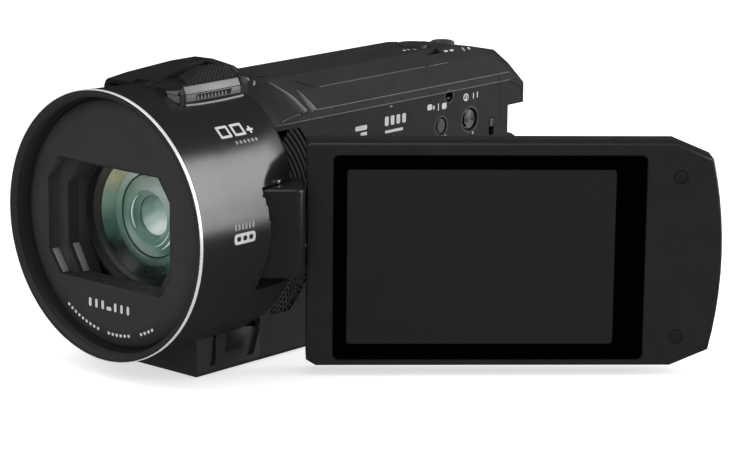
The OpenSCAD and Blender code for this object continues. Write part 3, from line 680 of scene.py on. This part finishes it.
# the collar that runs from the barrel into the roof
SIDE_LINE = [(16.1, 22.3, 52.2), (15.2, 23.6, 51.3), (13.6, 25.7, 50.0), (12.2, 27.4, 48.4),
             (10.4, 28.8, 47.0),
             (8.2, 30.1, 46.0), (5.0, 30.9, 45.0), (1.0, 31.5, 44.2), (-3.2, 31.6, 44.0), (-8.0, 30.0, 44.6),
             (-12.2, 28.4, 46.0), (-16.5, 26.3, 48.0), (-20.2, 24.0, 50.0), (-21.8, 21.5, 51.0)]


def smoothed(points, steps):
    """Points on a smooth curve through the given ones."""
    made = []
    pts = [Vector(p) for p in points]
    pts = [pts[0] * 2 - pts[1]] + pts + [pts[-1] * 2 - pts[-2]]
    for k in range(1, len(pts) - 2):
        p0, p1, p2, p3 = pts[k - 1:k + 3]
        for j in range(steps):
            t = j / steps
            made.append(0.5 * (2 * p1 + (p2 - p0) * t + (2 * p0 - 5 * p1 + 4 * p2 - p3) * t * t
                               + (3 * p1 - p0 - 3 * p2 + p3) * t ** 3))
    return made + [pts[-2]]


rear_line = smoothed(SIDE_LINE, 6)
COLLAR_FROM, COLLAR_TO = math.radians(44.3), math.radians(135.7)
bm = bmesh.new()
rows = []
for k, end in enumerate(rear_line):
    f = k / (len(rear_line) - 1)
    t = COLLAR_FROM + (COLLAR_TO - COLLAR_FROM) * f
    r = barrel_radius(t, EDGE_Y)
    start = Vector((r * math.cos(t), EDGE_Y, r * math.sin(t)))
    finish = Vector((end.x, end.z, end.y)) + Vector((0.1, 0, 0.25))
    row = []
    for j in range(13):
        g = j / 12
        ease = 0.35 * g + 0.65 * g * g * (3 - 2 * g)
        row.append(Vector((start.x + (finish.x - start.x) * ease, start.y + (finish.y - start.y) * g,
                           start.z + (finish.z - start.z) * ease)))
    row.append(row[-1] + Vector((-1.0 * math.cos(t), 0.25, -1.2 * math.sin(t))))
    row.insert(0, row[0] + Vector((-2.0 * math.cos(t), 0.1, -2.0 * math.sin(t))))
    rows.append([bm.verts.new(at_lens(*p)) for p in row])
for first, second in zip(rows, rows[1:]):
    for k in range(len(first) - 1):
        bm.faces.new([first[k], second[k], second[k + 1], first[k + 1]])
for end, sign in ((rows[0], 1), (rows[-1], -1)):      # the lower edges turn in to the casing
    low = [bm.verts.new(v.co + Vector((-sign * 3.5, 0, -0.5)) * MM) for v in end]
    for k in range(len(end) - 1):
        bm.faces.new([end[k], end[k + 1], low[k + 1], low[k]])
piece("barrel_collar", bm, collar_black, "body", smooth=40, stands_for=["barrel_cover"])


def bar(name, points, away, widths, height, mat, steps=4):
    """A low bar along a smooth line; away points out of the surface."""
    line = smoothed(points, steps) if steps > 1 else [Vector(p) for p in points]
    o = Vector(away).normalized()
    rings = []
    made = bmesh.new()
    for k, p in enumerate(line):
        ahead = line[min(k + 1, len(line) - 1)] - line[max(k - 1, 0)]
        side = ahead.cross(o).normalized()
        f = k / (len(line) - 1)
        w = widths[0] + (widths[1] - widths[0]) * f
        shape = [(-0.5, -0.2), (-0.5, 0.45 * height), (-0.3, height), (0.3, height), (0.5, 0.45 * height),
                 (0.5, -0.2)]
        rings.append([made.verts.new(at_lens(*(p + side * (a * w) + o * b))) for a, b in shape])
    tube(made, rings)
    return piece(name, made, mat, "body")


# painted highlights: light bars where the collar's rear edge and the roof's step catch the light
bar("collar_edge_highlight", [(9.0, 46.2, 29.75), (10.6, 46.9, 28.95), (12.4, 48.5, 27.5), (13.9, 50.1, 25.8),
                    (15.3, 51.4, 23.8), (16.3, 52.2, 22.3)],
    (0.8, -0.35, 0.55), (0.15, 1.6), 0.22, edge_painted_highlight)
bar("roof_edge_highlight", [(12.3, 53.4, 27.1), (13.6, 54.2, 25.6), (15.0, 54.9, 23.8), (16.1, 55.4, 22.2)],
    (0.8, -0.35, 0.55), (0.3, 2.0), 0.2, edge_painted_highlight)
# painted shade: a darker strip in the valley between the two light bars
bar("collar_valley_shade", [(10.6, 48.6, 28.4), (12.4, 50.6, 26.6), (14.4, 52.4, 24.4), (16.1, 53.7, 22.3)],
    (0.8, 0, 0.55), (0.6, 1.9), 0.06, pod_grey)
# painted shade: a dark strip raised a hair above the roof where the deck's front edge lies in shade, and beside it
# a lighter lip as its painted highlight
bar("roof_shade_strip", [(0.5, 44.6, 31.1), (3.0, 46.4, 30.9), (5.2, 49.2, 30.5), (7.4, 52.6, 29.9),
                    (9.6, 55.6, 28.8), (11.4, 58.2, 27.7), (12.6, 60.4, 26.7)],
    (0.4, 0, 0.9), (1.9, 0.5), 0.03, deck_painted_shade)
bar("roof_highlight_lip", [(0.0, 46.2, 31.15), (3.2, 47.9, 30.75), (6.0, 51.8, 30.15), (8.4, 55.0, 29.4),
                        (10.6, 58.0, 28.2)],
    (0.4, 0, 0.9), (0.7, 0.3), 0.12, lip_painted_highlight)

# crease lines along the side and the roof: thin light bars that paint the creases' highlights
for name, points, out in (
        ("upper_crease", [(16.15, 56.2, 22.35), (16.15, 131.0, 22.3)], (0.9, 0, 0.4)),
        ("side_crease", [(16.52, 36.8, 20.35), (16.52, 130.9, 20.3)], (1, 0, 0.1)),
        ("roof_crease", [(12.45, 61.5, 26.95), (12.45, 101.2, 26.95)], (0.7, 0, 0.7)),
        ("roof_crease_rear", [(12.45, 102.8, 26.9), (12.45, 110.5, 26.9)], (0.7, 0, 0.7))):
    bar(name, points, out, (0.26, 0.26), 0.05, crease_painted_highlight, steps=1)
# painted highlight on the collar's crease
bar("collar_crease", [(21.9, 37.9, 22.6), (19.6, 43.0, 22.5), (17.2, 49.5, 22.4)], (0.9, 0.2, 0.4),
    (0.25, 0.25), 0.1, crease_painted_highlight, steps=1)

# ---------- front bezel with its thread ----------
turned("bezel_sleeve", [(31.9, 0.06), (32.27, 0.02), (32.27, 0.95), (32.45, 1.0), (32.42, 2.0), (32.25, 4),
                        (32.15, 7.5), (32.07, 10.42), (30.3, 10.45), (30.3, 7), (31.6, 6.5), (31.6, 1.0)],
       lens_front, barrel_black, steps=256, smooth=30, stands_for=["front_bezel"])
THREAD_R, THREAD_DEPTH, THREAD_END, THREAD_STEP = 30.62, 0.28, 2.6, 0.19
ridges = [(THREAD_R + (THREAD_DEPTH if k % 2 else 0), THREAD_END - THREAD_STEP * k) for k in range(12)]
turned("bezel_thread", [(31.2, 0.2), (31.5, 0.02), (31.92, 0.05), (31.92, 1.1), (31.62, 1.1), (31.62, 6.4),
                        (30.3, 6.9), (27, 6.9), (27, 5.2), (30.9, 5.2), (31.0, 3.0)] + ridges,
       lens_front, bezel_grey, steps=256, smooth=30, stands_for=["front_bezel"])

# the face plate: its inner step opens further down than the outer one closes
bm = bmesh.new()
bm.from_mesh(nodes["lens_face_plate"].data)
bmesh.ops.remove_doubles(bm, verts=bm.verts, dist=1e-6)
CAD_FLOOR, STEP_FLOOR = -13.5, -14.6  # floor of the inner step, in the solid and here
BACK_FLOOR, BACK_DROP = -14.6, 1.3    # floor behind it, and how far it goes down too
for v in bm.verts:
    spot = (v.co - LENS) / MM
    if spot.y > 5.9 and abs(spot.z - CAD_FLOOR) < 0.06:
        v.co.z += (STEP_FLOOR - CAD_FLOOR) * MM
    elif spot.y > 5.9 and abs(spot.z - BACK_FLOOR) < 0.06:
        v.co.z -= BACK_DROP * MM
piece("face_plate", bm, plate_grey, "body", smooth=10, stands_for=["lens_face_plate"])


def window_facet(name, a, b, y0, y1, mat):
    """A plate on one slanted wall of the stepped window, from point a to point b, coloured to paint the light that
    falls on that wall.
    """
    a, b = Vector((a[0], 0, a[1])), Vector((b[0], 0, b[1]))
    ahead = (b - a).normalized()
    inward = Vector((abs(ahead.z), 0, -ahead.x if ahead.z > 0 else ahead.x))
    inward = inward if inward.dot(-a) > 0 else -inward
    made = bmesh.new()
    corners = [(a + ahead * 0.1, y0), (b - ahead * 0.1, y0), (b - ahead * 0.1, y1), (a + ahead * 0.1, y1)]
    first = [made.verts.new(at_lens(p.x + inward.x * 0.06, y, p.z + inward.z * 0.06)) for p, y in corners]
    second = [made.verts.new(at_lens(p.x - inward.x * 0.3, y, p.z - inward.z * 0.3)) for p, y in corners]
    solid(made, first, second)
    soften(made, 0.05, 2, 30)
    piece(name, made, mat, "body")


# painted light: the lower walls of both steps much lighter, the upper walls a little lighter
window_facet("outer_step_lower", (-21.8, -9.4), (-18.0, -14.8), 3.9, 5.9, step_painted_light)
window_facet("outer_step_upper", (-21.8, 8.6), (-18.0, 14.0), 3.1, 5.9, facet_dim)
window_facet("inner_step_lower", (-18.2, -8.1), (-14.4, STEP_FLOOR), 7.3, 9.3, step_painted_light)
window_facet("inner_step_upper", (-18.2, 7.3), (-14.4, 12.7), 6.1, 9.3, facet_dim)

# the lens tunnel behind the window
bm = bmesh.new()
TUNNEL = [(12.6, 12.7), (16.4, 7.3), (16.4, -8.1), (12.6, STEP_FLOOR), (-14.4, STEP_FLOOR), (-18.2, -8.1),
          (-18.2, 7.3), (-14.4, 12.7)]
loops = [[bm.verts.new(at_lens(a * wide, y, b - drop if b < -12 else b)) for a, b in TUNNEL]
         for wide, y, drop in ((1.0, 9.35, 0.1), (0.98, 11.5, 2.2), (0.96, 13.4, 3.6), (1.04, 13.4, 4.4),
                               (1.05, 11.5, 3.0), (1.05, 9.35, 0.9))]
hoop(bm, loops)
piece("window_tunnel", bm, tunnel_brown, "body", smooth=20)


def arc_marks(name, radius, middle, gaps, width, height, y):
    """Short bars along an arc of the face plate, where a lens carries its printing."""
    made = bmesh.new()
    for g in gaps:
        t = math.radians(middle) + g / radius
        side, up = Vector((-math.sin(t), math.cos(t))), Vector((math.cos(t), math.sin(t)))
        centre = up * radius
        block = [(centre.x + side.x * a + up.x * b, centre.y + side.y * a + up.y * b)
                 for a, b in rounded(width, height, min(width, height) * 0.3, 3)]
        prism(made, block, y, y + 0.3, lens_front)
    piece(name, made, print_light, "body")


bm = bmesh.new()
for k in range(7):
    w, h = (1.6, 0.9) if k == 3 else (0.8, 2.1)
    prism(bm, rounded(w, h, 0.3, 3, -7.6 + k * 2.15, -19.9 + (h - 2.2) / 2), 2.93, 3.2, lens_front)
piece("plate_marks", bm, print_light, "body")
MARK_PITCH = 1.35
arc_marks("plate_scale", 26.4, -90, [start + MARK_PITCH * k for start, count in ((-16, 9), (-1.5, 6), (9.6, 4))
                                     for k in range(count)], 0.75, 1.25, 3.14)


# ---------- marks printed on the barrel and the side ----------
def on_barrel(a, b, d):      # a back, b round the barrel from its side, d from its axis
    return at_lens(d * math.cos(b / RADIUS), a, d * math.sin(b / RADIUS))


def bars_on(name, blocks, place, low, high, mat):
    """Flat marks with rounded corners; blocks gives each one's middle, width and height."""
    slabs(name, [rounded(w, h, min(w, h) * 0.3, 3, a, b) for a, b, w, h in blocks], low, high, place, mat)


large_mark = []
for middle_a in (18.0, 22.6):         # two open squares, then a cross
    large_mark += [(middle_a, 27.2, 3.6, 0.65), (middle_a, 24.4, 3.6, 0.65),
                   (middle_a - 1.5, 25.8, 0.65, 3.4), (middle_a + 1.5, 25.8, 0.65, 3.4)]
large_mark += [(26.2, 25.2, 2.0, 0.6), (26.2, 25.2, 0.6, 2.0)]
bars_on("barrel_large_mark", large_mark, on_barrel, 31.2, 32.13, print_light)
bars_on("barrel_small_mark", [(20.0 + 1.3 * k, 22.4, 0.7, 0.9) for k in range(6)], on_barrel, 31.2, 32.12,
        print_dim)
bars_on("barrel_label_ticks", [(12.0 + 1.15 * k, 2.9, 0.7, 1.5) for k in range(6)], on_barrel, 31.5, 32.12,
        print_dim)
bars_on("barrel_label", [(14.9, 0.1, 6.9, 2.5)], on_barrel, 31.5, 32.12, print_light)
bars_on("barrel_label_bar", [(12.9 + 2 * k, 0.1, 1.2, 1.1) for k in range(3)], on_barrel, 31.5, 32.16,
        barrel_black)
SIDE = 16.5                       # the side wall, from the lens axis
MODE_AT, POWER_AT, SENSOR_AT = (103.1, 11.8), (114.7, 12.0), (106.2, 19.2)
bars_on("side_marks", [(72.4, 15.6, 4.4, 1.2), (73.4, 14.0, 2.4, 0.9), (82.0, 16.0, 1.4, 2.4),
                       (84.2, 16.0, 1.4, 2.4), (86.4, 16.0, 1.4, 2.4), (88.6, 16.0, 1.4, 2.4),
                       (84.8, 13.3, 6.8, 0.7), (98.6, 17.3, 1.9, 1.5), (100.2, 17.0, 0.6, 1.0),
                       (102.0, 16.9, 0.35, 1.9), (104.3, 16.9, 1.8, 1.6), (113.0, 18.1, 0.4, 1.7),
                       (116.0, 18.0, 0.35, 1.6), (117.6, 18.1, 0.35, 1.6)],
        lens_side, 16.3, 16.55, print_light)
turned("power_mark", [(0.75, 16.3), (0.75, 16.55), (1.0, 16.55), (1.0, 16.3)],
       shifted(lens_side, 113.0, 18.0), print_white, steps=32)
bars_on("touch_marks", [(83.6, 19.6, 0.8, 0.35), (104.9, 9.0, 0.7, 0.7), (115.9, 8.3, 0.7, 0.7)], lens_side,
        16.3, 16.6, print_dim)


def seat(name, centre, radius, width, mat, proud=0.0):
    """A ring round a button in the side wall."""
    low, high = SIDE - 0.3, SIDE + proud
    turned(name, [(radius, low), (radius, high), (radius + width, high), (radius + width, low)],
           shifted(lens_side, *centre), mat, steps=64, smooth=30)


seat("power_seat", POWER_AT, 2.95, 0.25, gap_black, 0.01)
seat("power_lip", POWER_AT, 3.2, 0.3, facet_dim, 0.05)
seat("mode_seat", MODE_AT, 2.2, 0.2, gap_black, 0.01)
seat("mode_lip", MODE_AT, 2.4, 0.25, facet_dim, 0.04)
turned("lid_sensor_cap", [(0.0, 15.2), (1.5, 15.2), (1.5, 16.38), (1.1, 16.5), (0.9, 16.3), (0.0, 16.2)],
       shifted(lens_side, *SENSOR_AT), screen_glass, steps=48, stands_for=["lid_sensor"])
seat("lid_sensor_rim", SENSOR_AT, 1.55, 0.25, facet_dim, 0.03)
bar("rear_parting", [(16.52, 129.9, 20.2), (16.52, 135.6, 17.8), (16.52, 136.4, 13.8)], (1, 0, 0),
    (0.3, 0.3), 0.05, gap_black, steps=1)

# ---------- vent ----------
VENT = (27.0, -2.0)               # the centre of its curves, back and up
VENT_STEPS = 60


def vent_arc(bm, r, width, top, first_angle):
    """A curved rib in the side wall, its face at the given distance to the side."""
    rings = []
    for k in range(VENT_STEPS + 1):
        t = math.radians(first_angle + (47 - first_angle) * k / VENT_STEPS)
        spots = [(r - width / 2, top - 1.6), (r - width / 2, top - 0.15), (r - width / 4, top),
                 (r + width / 4, top), (r + width / 2, top - 0.15), (r + width / 2, top - 1.6)]
        rings.append([bm.verts.new(at_lens(x, VENT[0] + q * math.cos(t), VENT[1] + q * math.sin(t)))
                      for q, x in spots])
    tube(bm, rings)


made = bmesh.new()
vent_arc(made, 26.3, 9.6, 15.9, -66)
piece("vent_back", made, vent_dark, "body", smooth=40, stands_for=["side_vent"])
made = bmesh.new()
for k in range(7):
    vent_arc(made, 22.2 + 1.3 * k, 0.95, 16.42, -2)
piece("vent_ribs", made, rib_grey, "body", smooth=40, stands_for=["side_vent"])

made = bmesh.new()
for ring_no in range(9):
    r = 21.9 + 1.05 * ring_no
    for k in range(22):
        t = math.radians(-66 + 2.9 * k + (1.45 if ring_no % 2 else 0))
        a, b = VENT[0] + r * math.cos(t), VENT[1] + r * math.sin(t)
        prism(made, circle(0.36, 8, a, b), 15.6, 16.3, lens_side)
piece("vent_studs", made, rib_grey, "body", stands_for=["side_vent"])

# ---------- microphone pod ----------
def on_slope(x, y, lift):
    """A point on the pod's near slope."""
    roof = 36.2 - (x - 3) * 0.156 if x < 9.4 else 35.2 - (x - 9.4) * 0.647
    return at_lens(x, y, min(roof, 32.4 + (y - 12.6) * 0.2708) + lift)


def slope_bar(bm, line, shape):
    """A slanting bar on the slope; shape gives points across and above its middle line."""
    tube(bm, [[bm.verts.new(on_slope(x + a * 0.8, y + a * 0.55, b)) for a, b in shape] for x, y in line])


RIB = ((-0.36, -0.1), (-0.22, 0.26), (0.22, 0.26), (0.36, -0.1))
RIB_GAP = ((-0.16, -0.1), (-0.16, 0.06), (0.16, 0.06), (0.16, -0.1))
ribs, gaps = bmesh.new(), bmesh.new()
for k in range(23):
    line = []
    for j in range(13):
        x, y = 12.5 - 5.6 * (j / 12), 6.6 + 1.2 * k + 8.0 * (j / 12)
        lowest = max(14.6, 15.8 + (12.5 - x) * 0.55)
        if lowest <= y <= 32.4:
            line.append((x, y))
    if len(line) > 1:
        slope_bar(ribs, line, RIB)
        slope_bar(gaps, [(x + 0.25, y + 0.42) for x, y in line], RIB_GAP)
piece("pod_ribs", ribs, rib_grey, "body", stands_for=["mic_grille"])
piece("pod_rib_gaps", gaps, gap_black, "body")


def near_side(a, b, d):      # on the pod's near side: a back, b up, leaning in above z 31.2
    lean = 0.5 * max(0, b - 31.2)
    return at_lens(d - lean, a, b)


def band_outline(low, high):
    """Outline of a band along the near side."""
    return [(14.2, low), (32.2, low), (32.2, high), (14.2, high)]


# painted light: the upper band gets the lighter silver, the lower band the darker
slab("pod_side_upper", band_outline(31.35, 33.0), 13.2, 14.0, near_side, silver_painted_lit,
     rounding=(0.1, 2, 40), stands_for=["mic_trim"])
slab("pod_side_lower", band_outline(29.5, 31.2), 13.2, 13.95, near_side, silver_painted_shade,
     rounding=(0.1, 2, 40), stands_for=["mic_trim"])
slab("pod_side_slot", [(17.4, 29.75), (28.6, 29.75), (29.3, 31.0), (17.4, 31.0)], 13.5, 14.03, near_side,
     gap_black)
slabs("pod_side_teeth", [[(a, 29.8), (a + 0.75, 29.8), (a + 0.4, 30.75), (a + 0.15, 30.75)]
                         for a in (17.6 + 1.15 * k for k in range(9))], 13.6, 14.06, near_side, silver_painted_shade)
bar("pod_line", [(14.0, 13.9, 28.85), (14.35, 18.0, 28.7), (14.5, 25.0, 28.7), (14.3, 32.6, 28.85)],
    (1, 0, 0.3), (0.55, 0.55), 0.25, silver_painted_lit)
slab("pod_side_gap", [(13.9, 29.1), (32.4, 29.1), (32.4, 33.2), (13.9, 33.2)], 13.0, 13.75, near_side,
     gap_black)


def pod_front(a, b, d):      # on the pod's front: a to the side, b up; leans back above z 32.3
    lean = max(0, b - 32.3) * 3.6
    return at_lens(a, d + lean, b)


slabs("pod_front_band", ([(9.0, 31.6), (12.7, 31.3), (13.2, 32.35), (8.9, 32.6)],
                         [(9.9, 30.0), (13.3, 29.5), (13.3, 31.1), (9.3, 31.4)]),
      12.35, 12.9, pod_front, silver_painted_shade)
slab("pod_front_slot", [(0.3, 31.9), (1.5, 33.1), (5.2, 32.7), (9.0, 31.75), (9.1, 31.0), (6.8, 31.1),
                        (3.6, 31.5)], 12.4, 12.8, pod_front, gap_black)
made = bmesh.new()
for k in range(8):
    a = 1.6 + 0.95 * k
    top_b = 32.75 - 0.12 * (a - 1.5)
    low_b = top_b - 1.1
    for foot, head, depth in ((-0.22, 0.23, 12.3), (0.23, -0.22, 12.32)):
        prism(made, [(a + foot, low_b), (a + foot + 0.32, low_b), (a + head + 0.32, top_b),
                     (a + head, top_b)], depth, 12.6, pod_front)
piece("pod_front_lattice", made, rib_grey, "body")
slab("pod_left_slot", [(-8.8, 31.5), (-8.8, 32.25), (-3.6, 32.35), (-3.2, 31.75)], 12.4, 12.8, pod_front,
     gap_black)
slabs("pod_left_lattice", [[(a, 31.6), (a + 0.25, 31.6), (a + 0.5, 32.2), (a + 0.25, 32.2)]
                           for a in (-8.1 + 0.9 * k for k in range(6))], 12.3, 12.6, pod_front, rib_grey)
bar("pod_rim", [(-3.0, 27.6, 35.9), (3.0, 31.5, 36.0), (6.5, 33.0, 35.5), (9.6, 33.7, 35.0),
                (11.4, 33.8, 34.0)], (0.1, 0.1, 1), (0.7, 0.6), 0.12, pod_light)
slab("pod_rear_slit", [(-0.35, 0), (0.35, 0), (0.35, 2.6), (-0.35, 2.6)], 0, 0.35,
     lambda a, b, d: at_lens(13.65 - 0.42 * b + d * 0.4, 32.9 + a, 31.2 + b), gap_black)
bars_on("collar_marks", [(7.8, 41.0, 0.7, 0.5), (9.4, 41.6, 0.5, 0.5), (10.2, 40.6, 0.4, 0.7)],
        lambda a, b, d: at_lens(a, b, 33.2 - (a - 6) * 0.38 + d), -2.6, -1.45, print_dim)

# ---------- top controls ----------
top_skin = skin("top_cover")


def on_roof(a, b, d):
    """A point on the roof: a to the side, b back, d above it."""
    hit = top_skin.ray_cast(at_lens(a, b, 60), Vector((0, 0, -1)))[0]
    low = at_lens(a, b, 29) if hit is None else hit
    return low + UP * (d * MM)


bars_on("roof_marks", [(5.2, 101.6, 0.6, 1.0), (5.2, 103.2, 0.6, 0.6), (5.6, 105.2, 0.9, 0.9),
                       (9.2, 113.4, 0.5, 1.3), (9.3, 115.6, 0.5, 1.3), (9.6, 120.0, 1.0, 0.35),
                       (9.6, 122.2, 0.7, 0.7)], on_roof, -0.1, 0.04, print_light)

# ---------- foot ----------
slab("foot_panel", [(20.9, -33.4), (31.6, -33.4), (33.2, -27.4), (22.2, -25.6), (20.9, -28.6)], 16.2, 16.62,
     lens_side, foot_grey, rounding=(0.12, 2, 30))
slab("foot_inset", [(23.9, -32.2), (29.8, -32.2), (31.2, -28.6), (24.6, -27.2)], 16.2, 16.68,
     lens_side, foot_dark, rounding=(0.12, 2, 30))

# ---------- hand strap ----------
BOW, STRAP_OUT, STRAP_MID = 150.0, 41.0, 82.0      # its curve, its furthest point and its middle
BAND_HALF, BAND_LOW, BAND_HIGH = 40.2, -18, 8
PAD_HALF, SEAM_AT = 27, 0.36


def on_strap(a, b, d):       # a along the strap from its middle, b up, d towards the body
    t = a / BOW
    return at_lens(BOW - STRAP_OUT - (BOW - d) * math.cos(t), STRAP_MID + (BOW - d) * math.sin(t), b)


def strap_slab(name, half, low, high, surface, mat, stands_for=(), nu=64, nv=20):
    """A slab on the strap; surface(f, g) gives its near and far depth, f and g from -1 to 1."""
    made = bmesh.new()
    middle, reach = (low + high) / 2, (high - low) / 2
    near, far = [[[made.verts.new(on_strap(f * half, middle + g * reach, surface(f, g)[face]))
                   for g in (2 * j / nv - 1 for j in range(nv + 1))]
                  for f in (2 * i / nu - 1 for i in range(nu + 1))] for face in (0, 1)]
    for i in range(nu):
        for j in range(nv):
            made.faces.new([near[i][j], near[i + 1][j], near[i + 1][j + 1], near[i][j + 1]])
            made.faces.new([far[i][j], far[i][j + 1], far[i + 1][j + 1], far[i + 1][j]])
    edge = [(i, 0) for i in range(nu)] + [(nu, j) for j in range(nv)]
    edge += [(i, nv) for i in range(nu, 0, -1)] + [(0, j) for j in range(nv, 0, -1)]
    for (i, j), (m, n) in zip(edge, edge[1:] + edge[:1]):
        made.faces.new([near[i][j], near[m][n], far[m][n], far[i][j]])
    return piece(name, made, mat, "body", 50, stands_for)


def band_depths(f, g):
    thin = 0.25 * max(0, abs(g) - 0.88) / 0.12
    return 0.3 + thin, 1.6 - thin


def pad_depths(f, g):
    fall = (1 - abs(f) ** 10) ** 0.5 * (1 - abs(g) ** 8) ** 0.5
    quilt = 0.35 * sum(math.exp(-((f + seam) / 0.03) ** 2) for seam in (-SEAM_AT, SEAM_AT))
    return 1.62, 1.9 + 2.85 * fall * (1 - quilt)


band = strap_slab("strap_webbing", BAND_HALF, BAND_LOW, BAND_HIGH, band_depths, webbing,
                  ["strap_band"])
cushion = strap_slab("strap_cushion", PAD_HALF, BAND_LOW - 2, BAND_HIGH + 2, pad_depths, padding,
                     ["strap_pad"], 80, 30)
STITCH_ROWS = (BAND_LOW + 1.2, BAND_HIGH - 1.2)
slabs("strap_stitches", [rounded(0.9, 0.28, 0.13, 2, -38.5 + 1.5 * k, row) for row in STITCH_ROWS
                         for k in range(52)], 0.22, 0.5, on_strap, stitching)


def patch_depths(f, g):
    return 0.03 + 0.2 * max(abs(f), abs(g)) ** 12, 0.5


strap_slab("strap_patch", 12, -16, 6, patch_depths, padding, nu=24)

# ---------- speaker, base and rear ----------
made = bmesh.new()
holes = [(0, 0)] + [(2.2 * math.cos(t), 2.2 * math.sin(t)) for t in (math.pi / 3 * k for k in range(6))]
for a, b in holes:
    lathe(made, [(0.55, 16.4), (0.55, 16.53), (0.8, 16.53), (0.8, 16.4)],
          shifted(lens_side, 50 + a, -22 + b), 20)
piece("speaker_rims", made, gap_black, "body", smooth=30)


def lens_below(a, b, d):     # drawn on the base: a to the side, b back, d down
    return at_lens(a, b, -d)


BASE = LENS.z / MM
DOOR_LEFT, DOOR_RIGHT, DOOR_FRONT, DOOR_BACK, LINE = -16, 12, 70, 92, 0.35
lines = ((DOOR_LEFT, DOOR_RIGHT, DOOR_FRONT, DOOR_FRONT + LINE),
         (DOOR_LEFT, DOOR_LEFT + LINE, DOOR_FRONT, DOOR_BACK),
         (DOOR_RIGHT - LINE, DOOR_RIGHT, DOOR_FRONT, DOOR_BACK),
         (DOOR_LEFT, DOOR_RIGHT, DOOR_BACK - LINE, DOOR_BACK))
slabs("card_door_lines", [[(a0, b0), (a1, b0), (a1, b1), (a0, b1)] for a0, a1, b0, b1 in lines],
      BASE - 0.3, BASE, lens_below, gap_black)

# ---------- floor, light, camera ----------
FLOOR_REACH = 4.0
mesh = bpy.data.meshes.new("floor")
corners = [(x * FLOOR_REACH, y * FLOOR_REACH, cad_box[0].z - 0.0002)
           for x, y in ((-1, -1), (1, -1), (1, 1), (-1, 1))]
mesh.from_pydata(corners, [], [(0, 1, 2, 3)])
floor = bpy.data.objects.new("floor", mesh)
scene.collection.objects.link(floor)
floor_white = material("floor_white", (0.6, 0.6, 0.6), 0.8, Emission_Strength=0.62,
                       Emission_Color=(1, 1, 1, 1))
mesh.materials.append(floor_white)
floor.visible_glossy = False

world = bpy.data.worlds.new("studio")
scene.world = world
world.use_nodes = True
sky = world.node_tree
path = sky.nodes.new("ShaderNodeLightPath")
tone = sky.nodes.new("ShaderNodeMix")
tone.data_type = "RGBA"
tone.inputs["A"].default_value = (1, 1, 1, 1)
tone.inputs["B"].default_value = (0.02, 0.02, 0.02, 1)
sky.links.new(path.outputs["Is Glossy Ray"], tone.inputs["Factor"])
sky.links.new(tone.outputs["Result"], sky.nodes["Background"].inputs["Color"])


def outwards(azimuth, elevation):
    """The direction from the object out to a place, from angles in degrees."""
    a, e = math.radians(azimuth), math.radians(elevation)
    return Vector((math.sin(a) * math.cos(e), -math.cos(a) * math.cos(e), math.sin(e)))


def softbox(name, azimuth, elevation, distance, width, height, power):
    light = bpy.data.lights.new(name, "AREA")
    light.shape = "RECTANGLE"
    light.size, light.size_y = width, height
    light.energy = power
    lamp = bpy.data.objects.new(name, light)
    scene.collection.objects.link(lamp)
    out = outwards(azimuth, elevation)
    lamp.location = Vector((0, 0, LENS.z)) + out * distance
    lamp.rotation_euler = (-out).to_track_quat("-Z", "Y").to_euler()


softbox("side_band", 139, 16.5, 0.9, 0.45, 0.72, 6.0)
softbox("overhead", 0, 80, 1.0, 1.0, 1.0, 4.0)
softbox("front_fill", -20, 30, 1.2, 0.8, 0.8, 3.0)

scene.view_settings.view_transform = "Standard"

CAMERA_AZIMUTH, CAMERA_ELEVATION, CAMERA_ROLL = 41.5, 13.2, math.radians(0.52)
out = outwards(CAMERA_AZIMUTH, CAMERA_ELEVATION)
level = Vector((math.cos(math.radians(CAMERA_AZIMUTH)), math.sin(math.radians(CAMERA_AZIMUTH)), 0))
right = level * math.cos(CAMERA_ROLL) + out.cross(level) * math.sin(CAMERA_ROLL)
camera = bpy.data.objects.new("camera", bpy.data.cameras.new("camera"))
scene.collection.objects.link(camera)
facing = Matrix((right, out.cross(right), out)).transposed().to_4x4()
camera.matrix_world = Matrix.Translation(at_lens(476.3, -445.5, 151.9)) @ facing
camera.data.sensor_width = 36
camera.data.lens = 140.5
camera.data.clip_start, camera.data.clip_end = 0.01, 20
scene.camera = camera
